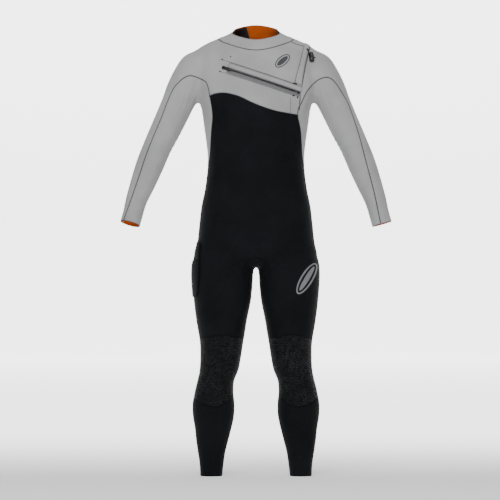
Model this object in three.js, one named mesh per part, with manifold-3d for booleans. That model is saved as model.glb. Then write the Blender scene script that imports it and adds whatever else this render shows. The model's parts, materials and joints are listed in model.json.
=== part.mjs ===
// A men's chest-zip full wetsuit, standing in the shape of the wearer.
// Millimetres, +Z up, front towards -Y, the wearer's right arm towards -X.
// The origin is on the floor plane of the two ankle hems, midway between them.
//
// The body is a set of lofted tubes (torso with neck, two arms, two legs). The outer form less the same
// form set in by the neoprene's thickness is one hollow shell, and narrow kerfs along the seams part that
// shell into the sewn panels. Strips, pockets and prints are thin layers of the same form, so they follow
// the panel that they are sewn on. The zip lies on a circular arc, so that its slider turns about one axis.

import * as THREE from "three";
import { mergeVertices } from "three/addons/utils/BufferGeometryUtils.js";
import Module from "manifold-3d";

const wasm = await Module();
wasm.setup();

// ---------------------------------------------------------------------------------------------------
// Driving dimensions
// ---------------------------------------------------------------------------------------------------

const neoprene = 4; // thickness of every panel
const gap = 0.3; // between neighbouring pieces, and the width of a seam's kerf
const kneeHeight = 345; // above the ankle hem
const crotchHeight = 672;
const torsoRise = 543; // crotch to armpit
const armpitHeight = crotchHeight + torsoRise;
const chestHalf = 184; // half-width of the torso at the armpits
const waistHalf = 154;
const seatHalf = 184;
const chestDepth = 118; // half-depths
const waistDepth = 102;
const seatDepth = 119;
const kneeHalf = 63;
const ankleHalf = 35;
const wristHalf = 33;
const neckHalf = 66;
const neckCentre = 14; // how far the neck sits behind the middle of the box
const elbowZone = 160; // length of sleeve that bends
const zipLength = 241;
const zipSlope = THREE.MathUtils.degToRad(18.3);
const zipSlotHalf = 16; // half the height of the slot that the zip fills
const chainDrop = 4; // how far the teeth lie below the slot's middle line, clear of the welt
const hemTape = 40; // height of the tapes inside the cuffs and ankles
const torsoFacets = 20;
const legFacets = 14;
const armFacets = 12;

// ---------------------------------------------------------------------------------------------------
// Small helpers
// ---------------------------------------------------------------------------------------------------

const V = (x, y, z) => new THREE.Vector3(x, y, z);
const lerp = THREE.MathUtils.lerp;

function solidOf(geometry) {
  const plain = geometry.clone();
  plain.deleteAttribute("normal");
  plain.deleteAttribute("uv");
  const merged = mergeVertices(plain, 1e-4);
  return new wasm.Manifold(
    new wasm.Mesh({
      numProp: 3,
      vertProperties: new Float32Array(merged.attributes.position.array),
      triVerts: new Uint32Array(merged.index.array),
    }),
  );
}

function geometryOf(solid) {
  const mesh = solid.getMesh();
  const geometry = new THREE.BufferGeometry();
  geometry.setAttribute("position", new THREE.BufferAttribute(mesh.vertProperties, 3));
  geometry.setIndex(new THREE.BufferAttribute(mesh.triVerts, 1));
  geometry.computeVertexNormals();
  return geometry;
}

const joined = (solids) => solids.reduce((whole, next) => whole.add(next));
const biggest = (solid) => solid.decompose().sort((a, b) => b.volume() - a.volume())[0];

// Where value stands between the z values of a rising list, read off in another of its fields.
function readOff(rows, z, field) {
  const i = Math.max(1, rows.findIndex((row, n) => row.z >= z || n === rows.length - 1));
  const t = THREE.MathUtils.clamp((z - rows[i - 1].z) / (rows[i].z - rows[i - 1].z), 0, 1);
  return lerp(rows[i - 1][field], rows[i][field], t);
}

// ---------------------------------------------------------------------------------------------------
// The wearer's form: stations up the torso, down each leg and along each arm
// ---------------------------------------------------------------------------------------------------

const above = (rise) => armpitHeight + rise;

// half: half-width, deep: half-depth, back: how far the middle lies behind y = 0, power: squareness
const torso = [
  { z: crotchHeight, half: 150, deep: 62, back: 6, power: 2 },
  { z: crotchHeight + 26, half: seatHalf + 10, deep: 100, back: 8, power: 2.1 },
  { z: crotchHeight + 76, half: seatHalf + 3, deep: seatDepth - 2, back: 11, power: 2.1 },
  { z: crotchHeight + 134, half: seatHalf - 3, deep: seatDepth, back: 13, power: 2.2 },
  { z: crotchHeight + 192, half: seatHalf - 10, deep: seatDepth - 6, back: 10, power: 2.2 },
  { z: crotchHeight + 250, half: lerp(seatHalf, waistHalf, 0.73), deep: waistDepth + 3, back: 7, power: 2.2 },
  { z: above(-217), half: waistHalf, deep: waistDepth, back: 4, power: 2.2 },
  { z: above(-159), half: waistHalf + 4, deep: waistDepth + 3, back: 2, power: 2.3 },
  { z: above(-101), half: lerp(waistHalf, chestHalf, 0.4), deep: chestDepth - 9, back: 0, power: 2.3 },
  { z: above(-44), half: chestHalf - 10, deep: chestDepth - 4, back: -1, power: 2.3 },
  { z: armpitHeight, half: chestHalf, deep: chestDepth, back: -1, power: 2.3 },
  { z: above(45), half: chestHalf + 8, deep: chestDepth - 1, back: 0, power: 2.3 },
  { z: above(85), half: chestHalf + 16, deep: chestDepth - 7, back: 3, power: 2.2 },
  { z: above(120), half: chestHalf + 18, deep: chestDepth - 20, back: 6, power: 2.1 },
  { z: above(148), half: chestHalf + 8, deep: chestDepth - 35, back: 9, power: 2 },
  { z: above(167), half: chestHalf - 21, deep: chestDepth - 47, back: 11, power: 1.9 },
  { z: above(187), half: chestHalf - 67, deep: 62, back: neckCentre - 1, power: 1.9 },
  { z: above(197), half: neckHalf + 27, deep: 60, back: neckCentre, power: 2 },
  { z: above(212), half: neckHalf + 4, deep: 58, back: neckCentre + 1, power: 2 },
  { z: above(240), half: neckHalf, deep: 58, back: neckCentre + 2, power: 2 },
];

// x: how far the middle of the leg lies from the middle of the body
const leg = [
  { z: 0, x: 143, half: ankleHalf, deep: ankleHalf + 4, back: 8 },
  { z: 38, x: 142, half: ankleHalf + 3, deep: ankleHalf + 5, back: 9 },
  { z: 77, x: 142, half: 44, deep: 43, back: 11 },
  { z: 115, x: 140, half: 52, deep: 49, back: 13 },
  { z: 154, x: 137, half: 59, deep: 57, back: 14 },
  { z: 192, x: 136, half: 66, deep: 63, back: 13 },
  { z: 230, x: 136, half: 67, deep: 64, back: 11 },
  { z: 269, x: 134, half: 62, deep: 61, back: 7 },
  { z: kneeHeight - 38, x: 128, half: kneeHalf - 4, deep: kneeHalf - 3, back: 2 },
  { z: kneeHeight, x: 117, half: kneeHalf, deep: kneeHalf + 2, back: -2 },
  { z: kneeHeight + 77, x: 110, half: kneeHalf + 6, deep: kneeHalf + 9, back: -1 },
  { z: kneeHeight + 154, x: 110, half: 81, deep: 84, back: 1 },
  { z: crotchHeight - 96, x: 107, half: 93, deep: 92, back: 3 },
  { z: crotchHeight - 19, x: 106, half: 98, deep: 97, back: 5 },
  { z: crotchHeight + 28, x: 101, half: 95, deep: 98, back: 7 },
  { z: crotchHeight + 90, x: 84, half: 78, deep: 84, back: 10 },
];

// x and z: the middle of the arm, from inside the shoulder to the cuff
const arm = [
  { x: chestHalf - 44, z: above(112), half: 34, deep: 50, back: 8 },
  { x: chestHalf - 2, z: above(92), half: 58, deep: 64, back: 7 },
  { x: chestHalf + 21, z: above(60), half: 61, deep: 64, back: 5 },
  { x: chestHalf + 48, z: above(15), half: 57, deep: 61, back: 3 },
  { x: chestHalf + 67, z: above(-25), half: 52, deep: 58, back: 1 },
  { x: chestHalf + 102, z: above(-101), half: 49, deep: 53, back: 0 },
  { x: chestHalf + 130, z: above(-159), half: 46, deep: 49, back: -1 },
  { x: chestHalf + 154, z: above(-217), half: 45, deep: 47, back: -3 },
  { x: chestHalf + 176, z: above(-274), half: 41, deep: 43, back: -5 },
  { x: chestHalf + 198, z: above(-332), half: wristHalf + 2, deep: 37, back: -7 },
  { x: chestHalf + 208, z: above(-371), half: wristHalf, deep: 33, back: -8 },
  { x: chestHalf + 219, z: above(-410), half: wristHalf, deep: 31, back: -9 },
];
const elbow = arm[6];
const armRun = V(arm[7].x - arm[5].x, 0, arm[7].z - arm[5].z).normalize();

// A closed loft: a cylinder whose rows are moved onto the stations, each square to the way the tube runs.
function loft(stations, around) {
  const rows = stations.length - 1;
  const geometry = new THREE.CylinderGeometry(1, 1, 1, around, rows);
  const at = geometry.attributes.position;
  for (let i = 0; i < at.count; i += 1) {
    const station = stations[Math.round((0.5 - at.getY(i)) * rows)];
    const reach = Math.hypot(at.getX(i), at.getZ(i));
    const turn = Math.atan2(at.getX(i), at.getZ(i));
    const bulge = 2 / station.power;
    const across = reach * station.half * Math.sign(Math.cos(turn)) * Math.abs(Math.cos(turn)) ** bulge;
    const deep = reach * station.deep * Math.sign(Math.sin(turn)) * Math.abs(Math.sin(turn)) ** bulge;
    const point = station.middle.clone();
    point.addScaledVector(V(station.up.z, 0, -station.up.x), across);
    point.y += deep;
    at.setXYZ(i, point.x, point.y, point.z);
  }
  return solidOf(geometry);
}

// Rows of a table as stations from the top down, grown by outset all round. The arm's sections lie square
// to its run, and the others lie level.
function stationsOf(rows, side, outset) {
  const points = rows.map((row) => V(side * (row.x ?? 0), row.back, row.z));
  return rows.map((row, i) => {
    const from = points[Math.max(0, i - 1)];
    const to = points[Math.min(points.length - 1, i + 1)];
    const up = V(from.x - to.x, 0, from.z - to.z).normalize();
    return {
      middle: points[i].clone(),
      up: rows === arm ? up : V(0, 0, 1),
      half: row.half + outset,
      deep: row.deep + outset,
      power: row.power ?? 2,
    };
  });
}

// Carries the last station on by a distance, keeping its section.
function runOn(stations, by) {
  const last = stations[stations.length - 1];
  const middle = last.middle.clone().addScaledVector(last.up, -by);
  if (by > 0) stations.push({ ...last, middle });
}

// The whole form grown by outset (or set in, below zero). Ends that stand open run on by overrun.
function bodyForm(outset, overrun) {
  const torsoDown = stationsOf([...torso].reverse(), 1, outset);
  if (overrun > 0) torsoDown.unshift({ ...torsoDown[0], middle: torsoDown[0].middle.clone().setZ(above(240 + overrun)) });
  torsoDown[torsoDown.length - 1].middle.z -= outset;
  const tubes = [loft(torsoDown, torsoFacets)];
  for (const side of [-1, 1]) {
    const legDown = stationsOf([...leg].reverse(), side, outset);
    runOn(legDown, overrun);
    tubes.push(loft(legDown, legFacets));
    const armDown = stationsOf(arm, side, outset);
    runOn(armDown, overrun);
    tubes.push(loft(armDown, armFacets));
  }
  return joined(tubes);
}

const outerForm = bodyForm(0, 0);
const skin = new THREE.Mesh(geometryOf(outerForm), new THREE.MeshBasicMaterial({ side: THREE.DoubleSide }));
const ray = new THREE.Raycaster();

// The point on the form's surface in front of (side -1) or behind (side 1) a place x, z, and its normal.
function onSurface(x, z, side = -1) {
  ray.set(V(x, side * 900, z), V(0, -side, 0));
  const hit = ray.intersectObject(skin)[0];
  return { point: hit.point, normal: hit.face.normal.clone() };
}

// A solid of an outline in x and z, from y = near to y = far.
function prism(points, near, far) {
  const outline = new THREE.Shape(points.map(([x, z]) => new THREE.Vector2(x, z)));
  const geometry = new THREE.ExtrudeGeometry(outline, { depth: far - near, bevelEnabled: false });
  geometry.rotateX(Math.PI / 2);
  geometry.translate(0, far, 0);
  return solidOf(geometry);
}

const deepFront = -400;
const deepBack = 400;

// A seam's kerf: a curve through points in x and z, as thin as the gap, from y = near to y = far.
function kerf(points, near, far, steps = 2 * points.length) {
  const curve = new THREE.SplineCurve(points.map(([x, z]) => new THREE.Vector2(x, z)));
  const run = curve.getPoints(steps);
  const edge = (hand) =>
    run.map((point, i) => {
      const before = run[Math.max(0, i - 1)];
      const after = run[Math.min(run.length - 1, i + 1)];
      const along = after.clone().sub(before).normalize();
      return [point.x - (hand * along.y * gap) / 2, point.y + (hand * along.x * gap) / 2];
    });
  return prism([...edge(1), ...edge(-1).reverse()], near, far);
}

// A thin layer over or under the panels: the part of the form between two outsets inside an outline.
function layer(points, from, to, near = deepFront, far = 0) {
  const [thick, thin] = [Math.max(from, to), Math.min(from, to)];
  const sheet = bodyForm(thick, 60).subtract(bodyForm(thin, 70));
  return biggest(sheet.intersect(prism(points, near, far)));
}

// ---------------------------------------------------------------------------------------------------
// The seams
// ---------------------------------------------------------------------------------------------------

const sideAt = (z) => readOff(torso, z, "half");

// A place on the arm: its height, and how far across it is, as a share of the arm's half-width.
function acrossArm(side, rise, share) {
  const down = [...arm].reverse();
  const x = readOff(down, above(rise), "x") + (share * readOff(down, above(rise), "half")) / Math.cos(0.42);
  return [side * x, above(rise)];
}

// The seam of the underarm panel: up the torso's side, over the arch at the shoulder and down the arm.
function underarmSeam(side, inset, arch, down) {
  const strip = inset.map(([rise, width]) => [side * (sideAt(above(rise)) - width), above(rise)]);
  const over = arch.map(([out, rise]) => [side * (chestHalf + out), above(rise)]);
  const sleeve = down.map(([rise, share]) => acrossArm(side, rise, share));
  return [...strip, ...over, ...sleeve];
}

const stripFoot = -236; // where the grey side strip runs out, below the armpit
const stripWidths = [[-252, -6], [stripFoot, 0], [-187, 9], [-114, 22]];
const rightUnderarm = underarmSeam(
  -1,
  [...stripWidths, [-64, 33], [-12, 36]],
  [[-29, 34], [-15, 49], [20, 63], [43, 58], [65, 40], [81, 20], [101, -25]],
  [[-71, 0.55], [-170, 0.5], [-254, 0.43], [-325, 0.45], [-380, 0.62], [-432, 0.75]],
);
const leftUnderarm = underarmSeam(
  1,
  [...stripWidths, [-63, 39]],
  [[-47, -37], [-40, -25], [-26, 5], [-10, 28], [13, 49], [37, 58], [55, 54], [72, 38], [88, 13], [111, -28]],
  [[-114, 0.62], [-221, 0.29], [-311, 0.08], [-418, -0.15], [-436, -0.18]],
);
const rightChestEnd = [-(chestHalf - 34), above(-3)];
const leftChestEnd = [sideAt(above(-63)) - 37.5, above(-63)];
const chestSeam = [rightChestEnd, [-127, above(5)], [-94, above(6)], [-53, above(-5)], [-13, above(-24)],
  [28, above(-40)], [69, above(-52)], leftChestEnd];
const backSeam = [[-sideAt(above(-50)) + 32.5, above(-50)], [-70, above(-66)], [0, above(-74)],
  [70, above(-66)], [sideAt(above(-50)) - 34.5, above(-50)]];
const collarSide = 195; // the collar's seam at the side of the neck
const flapEdge = [[-8, 178], [-11, 160], [-23, 108], [-31, 69], [-39, 26], [-43, 0], [-46.5, -47]]
  .map(([out, rise]) => [chestHalf + out, above(rise)]);
const shoulderSeam = [[neckHalf + 12, above(collarSide)], [neckHalf + 30, above(180)], [chestHalf - 53, above(164)], [chestHalf - 31, above(159)],
  [chestHalf - 9, above(162)]];
const rightRaglan = [[-(neckHalf + 18), above(collarSide + 2)], [-(chestHalf - 40), above(135)], [-(chestHalf + 16), above(61)]];
const leftRaglan = [[chestHalf - 9, above(180)], [chestHalf - 4, above(120)], [chestHalf + 14, above(48)]];
const flapTop = [[-34, 140], [-3, 140], [-3, 185], [-34, 185]].map(([x, up]) => [chestHalf + x, above(up)]);
const gussetTop = [[-9, -112], [-26, -92], [-42, -24], [-30, 12], [0, 27], [30, 12], [42, -24], [26, -92], [9, -112]]
  .map(([x, rise]) => [x, crotchHeight + rise]);
const kneeTop = [[-80, 95], [-58, 98], [-36, 100], [-18, 106], [0, 108], [22, 106], [40, 101], [62, 96], [84, 92]];
const kneeFoot = [[-90, -84], [-60, -92], [-42, -108], [-20, -119], [8, -121], [36, -112], [56, -98], [84, -84]];
const ofLeg = (side, line, x) => line.map(([out, rise]) => [side * (x + out), kneeHeight + rise]);

// Thin boxes that part front from back down the legs, leaving the crotch gusset whole.
const sideSeam = 6; // behind the middle
function sideSeamKerfs(side) {
  const slab = (from, to, top) => {
    const box = new THREE.BoxGeometry(to - from, gap, top + 20);
    box.translate((side * (from + to)) / 2, sideSeam, top / 2 - 10);
    return solidOf(box);
  };
  return [slab(100, 240, above(stripFoot + 34)), slab(1, 101, crotchHeight - 96)];
}

// Thin boxes square to the arm, above and below the stretch of sleeve that bends.
function elbowKerfs(side) {
  return [-1, 1].map((way) => {
    const box = new THREE.BoxGeometry(150, 150, gap);
    box.rotateY(Math.atan2(-armRun.x, -armRun.z) - Math.PI);
    box.translate(
      elbow.x + (way * armRun.x * elbowZone) / 2,
      elbow.back,
      elbow.z + (way * armRun.z * elbowZone) / 2,
    );
    if (side < 0) box.rotateZ(Math.PI).translate(0, 2 * elbow.back, 0);
    return solidOf(box);
  });
}

// All the space over a height that depends on the way round the neck: 0 in front, half a turn behind.
function overNeck(heightAt, thickness = 200) {
  const plate = new THREE.BoxGeometry(240, 240, thickness, 8, 8, 1);
  plate.translate(0, neckCentre, thickness / 2);
  const at = plate.attributes.position;
  for (let i = 0; i < at.count; i += 1) {
    const turn = Math.abs(Math.atan2(at.getX(i), neckCentre - at.getY(i)));
    at.setZ(i, at.getZ(i) + heightAt(turn));
  }
  return solidOf(plate);
}

// A height that climbs from the front to the side of the neck, then runs on to the back.
const roundNeck = (front, side, back) => (turn) => {
  const climb = Math.min(1, 1 - Math.cos(turn)) ** 0.85;
  return above(lerp(front, side, climb) + Math.max(0, -Math.cos(turn)) * (back - side));
};
const collarSeam = roundNeck(144, collarSide, collarSide - 3);
const overCollarSeam = overNeck(collarSeam);
const overPanels = overNeck((turn) => collarSeam(turn) - gap);
const overRim = overNeck(roundNeck(179, 216, 231));

// ---------------------------------------------------------------------------------------------------
// The zip's arc
// ---------------------------------------------------------------------------------------------------

const along = V(Math.cos(zipSlope), 0, -Math.sin(zipSlope)); // from the closed end to the open end
const rise = V(Math.sin(zipSlope), 0, Math.cos(zipSlope)); // up the chest, square to the zip
const out = V(0, -1, 0);
const zipOpen = V(chestHalf - 43, 0, above(11));

// The circle through three places on the chest: both ends of the zip and its middle.
function zipArc() {
  const spots = [zipLength, zipLength / 2, 0].map((back) => {
    const place = zipOpen.clone().addScaledVector(along, -back);
    return new THREE.Vector2(zipLength - back, -onSurface(place.x, place.z).point.y);
  });
  const [a, b, c] = spots;
  const twice = 2 * (a.x * (b.y - c.y) + b.x * (c.y - a.y) + c.x * (a.y - b.y));
  const [aa, bb, cc] = spots.map((spot) => spot.lengthSq());
  const x = (aa * (b.y - c.y) + bb * (c.y - a.y) + cc * (a.y - b.y)) / twice;
  const y = (aa * (c.x - b.x) + bb * (a.x - c.x) + cc * (b.x - a.x)) / twice;
  const radius = Math.hypot(a.x - x, a.y - y);
  const centre = zipOpen.clone().addScaledVector(along, x - zipLength).addScaledVector(out, y);
  return { centre, radius, start: Math.asin((0 - x) / radius), end: Math.asin((zipLength - x) / radius) };
}
const zip = zipArc();

// A band of the zip: between two heights off the arc's surface, two heights up the chest and two angles.
function band(low, high, under, over, from = zip.start, to = zip.end, steps = 16) {
  const ring = (r) =>
    Array.from({ length: steps + 1 }, (_, i) => {
      const turn = lerp(from, to, i / steps);
      return new THREE.Vector2(r * Math.sin(turn), r * Math.cos(turn));
    });
  const outline = new THREE.Shape([...ring(zip.radius + high), ...ring(zip.radius + low).reverse()]);
  const geometry = new THREE.ExtrudeGeometry(outline, { depth: over - under, bevelEnabled: false });
  geometry.translate(0, 0, -over);
  const frame = new THREE.Matrix4().makeBasis(along, out, rise.clone().negate());
  geometry.applyMatrix4(frame.setPosition(zip.centre));
  return geometry;
}

// Puts a piece, drawn with x along the zip, y off the chest and z down it, at an angle of the arc.
function atZip(geometry, turn, height = 0) {
  const tangent = along.clone().multiplyScalar(Math.cos(turn)).addScaledVector(out, -Math.sin(turn));
  const normal = along.clone().multiplyScalar(Math.sin(turn)).addScaledVector(out, Math.cos(turn));
  const frame = new THREE.Matrix4().makeBasis(tangent, normal, rise.clone().negate());
  const middle = zip.centre.clone().addScaledVector(normal, zip.radius + height);
  return geometry.applyMatrix4(frame.setPosition(middle.addScaledVector(rise, -chainDrop)));
}

// ---------------------------------------------------------------------------------------------------
// Materials and the group
// ---------------------------------------------------------------------------------------------------

const finish = (color, roughness, metalness = 0) => ({ color, roughness, metalness });
const greyJersey = finish(0xacacac, 0.85);
const blackJersey = finish(0x191b1f, 0.8);
const kneePrint = finish(0x111214, 0.6);
const orangeLining = finish(0xc8550f, 0.9);
const smoothRubber = finish(0x1d1d1f, 0.5);
const blackPlastic = finish(0x141416, 0.4);
const blackTape = finish(0x2b2c2e, 0.9);
const greyTape = finish(0x8d8d8f, 0.9);
const steel = finish(0x8a8c90, 0.3, 0.9);
const darkPrint = finish(0x45464a, 0.6);
const palePrint = finish(0x8e9094, 0.6);

const suit = new THREE.Group();
suit.name = "full_wetsuit";

function place(name, geometry, look) {
  const mesh = new THREE.Mesh(geometry, new THREE.MeshStandardMaterial(look));
  mesh.name = name;
  suit.add(mesh);
}

// ---------------------------------------------------------------------------------------------------
// Panels
// ---------------------------------------------------------------------------------------------------

const behind = sideSeam + 0.1; // front cuts stop, and back cuts start, near the middle
const hollow = outerForm.subtract(bodyForm(-neoprene, 25)).subtract(overRim);
const slotStart = zip.start - 0.03;
const slotEnd = zip.end + 0.03;
const zipSlot = solidOf(band(-24, 24, -zipSlotHalf - gap, zipSlotHalf + gap, slotStart, slotEnd));

const cuts = [
  kerf(rightUnderarm, deepFront, deepBack),
  kerf(leftUnderarm, deepFront, deepBack),
  kerf(chestSeam, deepFront, behind),
  kerf(backSeam, behind, deepBack),
  kerf(flapEdge, deepFront, neckCentre, 12),
  kerf(shoulderSeam, deepFront, neckCentre, 6),
  kerf(rightRaglan, neckCentre, deepBack, 5),
  kerf(leftRaglan, neckCentre, deepBack, 5),
  prism(flapTop, neckCentre - gap / 2, neckCentre + gap / 2),
  kerf(gussetTop, deepFront, deepBack, 18),
  zipSlot,
];
for (const side of [-1, 1]) {
  cuts.push(
    ...sideSeamKerfs(side),
    ...elbowKerfs(side),
    kerf(ofLeg(side, kneeTop, 110), deepFront, deepBack, 10),
    kerf(ofLeg(side, kneeFoot, 136), deepFront, deepBack, 10),
  );
}
const panels = hollow.subtract(overPanels).subtract(joined(cuts)).decompose().filter((panel) => panel.volume() > 400);

// The panel that holds a place x, z on the front (side -1) or the back (side 1) of the form.
function panelAt(x, z, side = -1) {
  const { point } = onSurface(x, z, side);
  const probe = new THREE.SphereGeometry(6, 8, 6).translate(point.x, point.y, point.z);
  const around = solidOf(probe);
  const held = panels.map((panel) => panel.intersect(around).volume());
  return geometryOf(panels[held.indexOf(Math.max(...held))]);
}

place("chest_yoke_with_right_sleeve", panelAt(-60, above(120)), greyJersey);
place("left_shoulder_with_sleeve", panelAt(chestHalf - 6, above(90)), greyJersey);
place("upper_back_panel", panelAt(0, above(60), 1), greyJersey);
place("front_panel", panelAt(0, above(-200)), blackJersey);
place("lower_back_panel", panelAt(0, above(-200), 1), blackJersey);
place("crotch_gusset", panelAt(0, crotchHeight + 12), blackJersey);
place("collar", geometryOf(biggest(hollow.intersect(overCollarSeam))), greyJersey);

const sides = [["right", -1], ["left", 1]];
for (const [hand, side] of sides) {
  const arms = (height, share) => {
    const [x, z] = acrossArm(side, height, share);
    return panelAt(x, z);
  };
  place(`underarm_panel_${hand}`, arms(-60, -0.3), greyJersey);
  place(`elbow_outer_${hand}`, arms(-160, 0.82), greyJersey);
  place(`elbow_inner_${hand}`, arms(-160, -0.3), greyJersey);
  place(`forearm_outer_${hand}`, arms(-270, 0.8), greyJersey);
  place(`forearm_inner_${hand}`, arms(-300, -0.4), greyJersey);
  place(`knee_pad_${hand}`, panelAt(side * 117, kneeHeight), kneePrint);
  place(`knee_back_${hand}`, panelAt(side * 117, kneeHeight, 1), blackJersey);
  place(`shin_panel_${hand}`, panelAt(side * 138, 120), blackJersey);
  place(`calf_panel_${hand}`, panelAt(side * 138, 120, 1), blackJersey);
}

// ---------------------------------------------------------------------------------------------------
// Tapes inside the hems, and the dark barrier inside the neck
// ---------------------------------------------------------------------------------------------------

const lining = -neoprene - gap;
const tapeThickness = 1.5;
for (const [hand, side] of sides) {
  const hem = [[side * 90, 1], [side * 220, 1], [side * 220, hemTape], [side * 90, hemTape]];
  place(`ankle_hem_tape_${hand}`, geometryOf(layer(hem, lining, lining - tapeThickness, -200, 200)), orangeLining);
  const cuff = arm[arm.length - 1];
  const last = arm[arm.length - 2];
  const run = V(cuff.x - last.x, 0, cuff.z - last.z).normalize();
  const corner = (down, over) => [
    side * (cuff.x - run.x * down + run.z * over),
    cuff.z - run.z * down - run.x * over,
  ];
  const wrist = [corner(1, 60), corner(1, -60), corner(hemTape, -60), corner(hemTape, 60)];
  place(`wrist_hem_tape_${hand}`, geometryOf(layer(wrist, lining, lining - tapeThickness, -200, 200)), orangeLining);
}
const barrier = [[-80, above(192)], [-80, above(214)], [-30, above(222)], [-24, above(205)], [-14, above(175)],
  [-70, above(175)]];
place("neck_barrier", geometryOf(layer(barrier, lining, lining - 2, neckCentre, 200)), smoothRubber);

// ---------------------------------------------------------------------------------------------------
// Strips, pocket and prints sewn or bonded on the outside
// ---------------------------------------------------------------------------------------------------

const flapWelt = [[-14, 152], [-26, 108], [-34, 69], [-38, 32], [-62, 40], [-56, 65], [-46, 101], [-34, 150]]
  .map(([x, up]) => [chestHalf + x, above(up)]);
const weltThickness = 2.8;
place("shoulder_flap_welt", geometryOf(layer(flapWelt, gap, weltThickness)), greyJersey);

const pocketSide = -182;
const pocketOut = -240;
const pocketFoot = crotchHeight - 99;
const pocketMouth = crotchHeight + 18;
const pocketTop = crotchHeight + 77;
const pocketBag = [[pocketOut, pocketFoot], [pocketSide - 10, pocketFoot], [pocketSide - 2, pocketFoot + 40],
  [pocketSide, pocketMouth], [pocketOut, pocketMouth]];
place("thigh_pocket", geometryOf(layer(pocketBag, gap, 4.3, -80, 80)), blackJersey);
const pocketFlap = [[pocketOut, pocketMouth + 1], [pocketSide, pocketMouth + 1], [pocketSide + 2, pocketMouth + 36],
  [pocketSide, pocketTop], [pocketOut, pocketTop]];
place("thigh_pocket_flap", geometryOf(layer(pocketFlap, gap, 3.3, -80, 80)), blackJersey);

// A plain slanted oval print with a slot across it.
function printMark(x, z, long, short, lean) {
  const oval = [];
  for (let i = 0; i < 20; i += 1) {
    const turn = (i / 20) * 2 * Math.PI;
    const [a, b] = [long * Math.cos(turn), short * Math.sin(turn)];
    oval.push([x + a * Math.cos(lean) - b * Math.sin(lean), z + a * Math.sin(lean) + b * Math.cos(lean)]);
  }
  return geometryOf(layer(oval, gap, gap + 0.4));
}
place("chest_print", printMark(84, above(109), 26, 16, 0.6), darkPrint);
place("thigh_print", printMark(162, crotchHeight - 40, 56, 22, 1), palePrint);

// ---------------------------------------------------------------------------------------------------
// The zip
// ---------------------------------------------------------------------------------------------------

const tapeHalf = 0.8; // half the tapes' thickness
const coilWide = 2.8;
place("zip_tape_upper", band(-tapeHalf, tapeHalf, gap / 2 - chainDrop, zipSlotHalf), greyTape);
place("zip_tape_lower", band(-tapeHalf, tapeHalf, -zipSlotHalf, -gap / 2 - chainDrop), greyTape);
const coilStart = zip.start + 4 / zip.radius;
const coilEnd = zip.end - 16 / zip.radius;
const coilFoot = tapeHalf + gap;
const coilTop = coilFoot + 1.8;
const row = (under, over) => band(coilFoot, coilTop, under - chainDrop, over - chainDrop, coilStart, coilEnd, 24);
place("zip_coil_upper", row(gap / 2, coilWide), blackPlastic);
place("zip_coil_lower", row(-coilWide, -gap / 2), blackPlastic);

// The welt: a stitched strip of neoprene over the upper tape, whose free edge hides the teeth.
const sliderHalf = coilWide + gap + 1.5;
const weltFoot = sliderHalf - chainDrop + gap;
place("zip_welt", band(coilFoot, coilFoot + 2, weltFoot, zipSlotHalf), greyJersey);

// The guard: a strip of smooth rubber behind the slot, against the wearer. An outline along the zip is
// given as distances from its closed end and heights above its middle line.
const guard = [[-14, -zipSlotHalf - 10], [zipLength - 6, -zipSlotHalf - 10],
  [zipLength - 6, zipSlotHalf + 10], [-14, zipSlotHalf + 10]].map(([run, up]) => {
  const at = zipOpen.clone().addScaledVector(along, run - zipLength).addScaledVector(rise, up);
  return [at.x, at.z];
});
const guardDepth = 2.8; // clear of the tapes, whose arc leaves the form by a few millimetres
place("zip_guard", geometryOf(layer(guard, lining - guardDepth, lining - guardDepth - 2)), smoothRubber);

// The slider: a top plate with two flanges that ride outside the coils, and a bridge for the pull.
const sliderLong = 15;
const plateFoot = coilTop + gap;
const plateTop = plateFoot + 1.6;
function slider() {
  const profile = new THREE.Shape([
    [-sliderHalf, coilFoot], [-coilWide - gap, coilFoot], [-coilWide - gap, plateFoot],
    [coilWide + gap, plateFoot], [coilWide + gap, coilFoot], [sliderHalf, coilFoot],
    [sliderHalf, plateTop - 0.6], [sliderHalf - 0.8, plateTop], [-sliderHalf + 0.8, plateTop],
    [-sliderHalf, plateTop - 0.6],
  ].map(([z, y]) => new THREE.Vector2(z, y)));
  const body = new THREE.ExtrudeGeometry(profile, { depth: sliderLong, bevelEnabled: false });
  body.rotateY(-Math.PI / 2);
  body.translate(sliderLong / 2, 0, 0);
  const arch = new THREE.Shape([
    [-4.5, -0.2], [-4.5, 2], [-3, 3.4], [3, 3.4], [4.5, 2], [4.5, -0.2], [3.2, -0.2], [3.2, 1.5],
    [2.4, 2.2], [-2.4, 2.2], [-3.2, 1.5], [-3.2, -0.2],
  ].map(([x, y]) => new THREE.Vector2(x, y)));
  const bridge = new THREE.ExtrudeGeometry(arch, { depth: 3, bevelEnabled: false });
  bridge.translate(0, plateTop, -1.5);
  return geometryOf(solidOf(body).add(solidOf(bridge)));
}
const sliderAt = zip.start + 6 / zip.radius;
place("zip_slider", atZip(slider(), sliderAt), steel);

// The pull: a loop through the bridge and a flat tab, lying towards the closed end.
const bridgeEye = plateTop + 1.15; // the height of the loop's bar, in the bridge's eye
function pull() {
  const tab = new THREE.Shape([
    [1, -5], [1, 5], [-6, 4.6], [-22, 5.2], [-25, 3.6], [-25, -3.6], [-22, -5.2], [-6, -4.6],
  ].map(([x, z]) => new THREE.Vector2(x, z)));
  tab.holes.push(new THREE.Path([[0, -2.2], [-5, -2.2], [-5, 2.2], [0, 2.2]]
    .map(([x, z]) => new THREE.Vector2(x, z))));
  const plate = new THREE.ExtrudeGeometry(tab, { depth: 1, bevelEnabled: false });
  plate.rotateX(Math.PI / 2);
  plate.translate(-0.5, 0.5, 0);
  return plate;
}
place("zip_pull", atZip(pull(), sliderAt, bridgeEye), blackPlastic);

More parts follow.
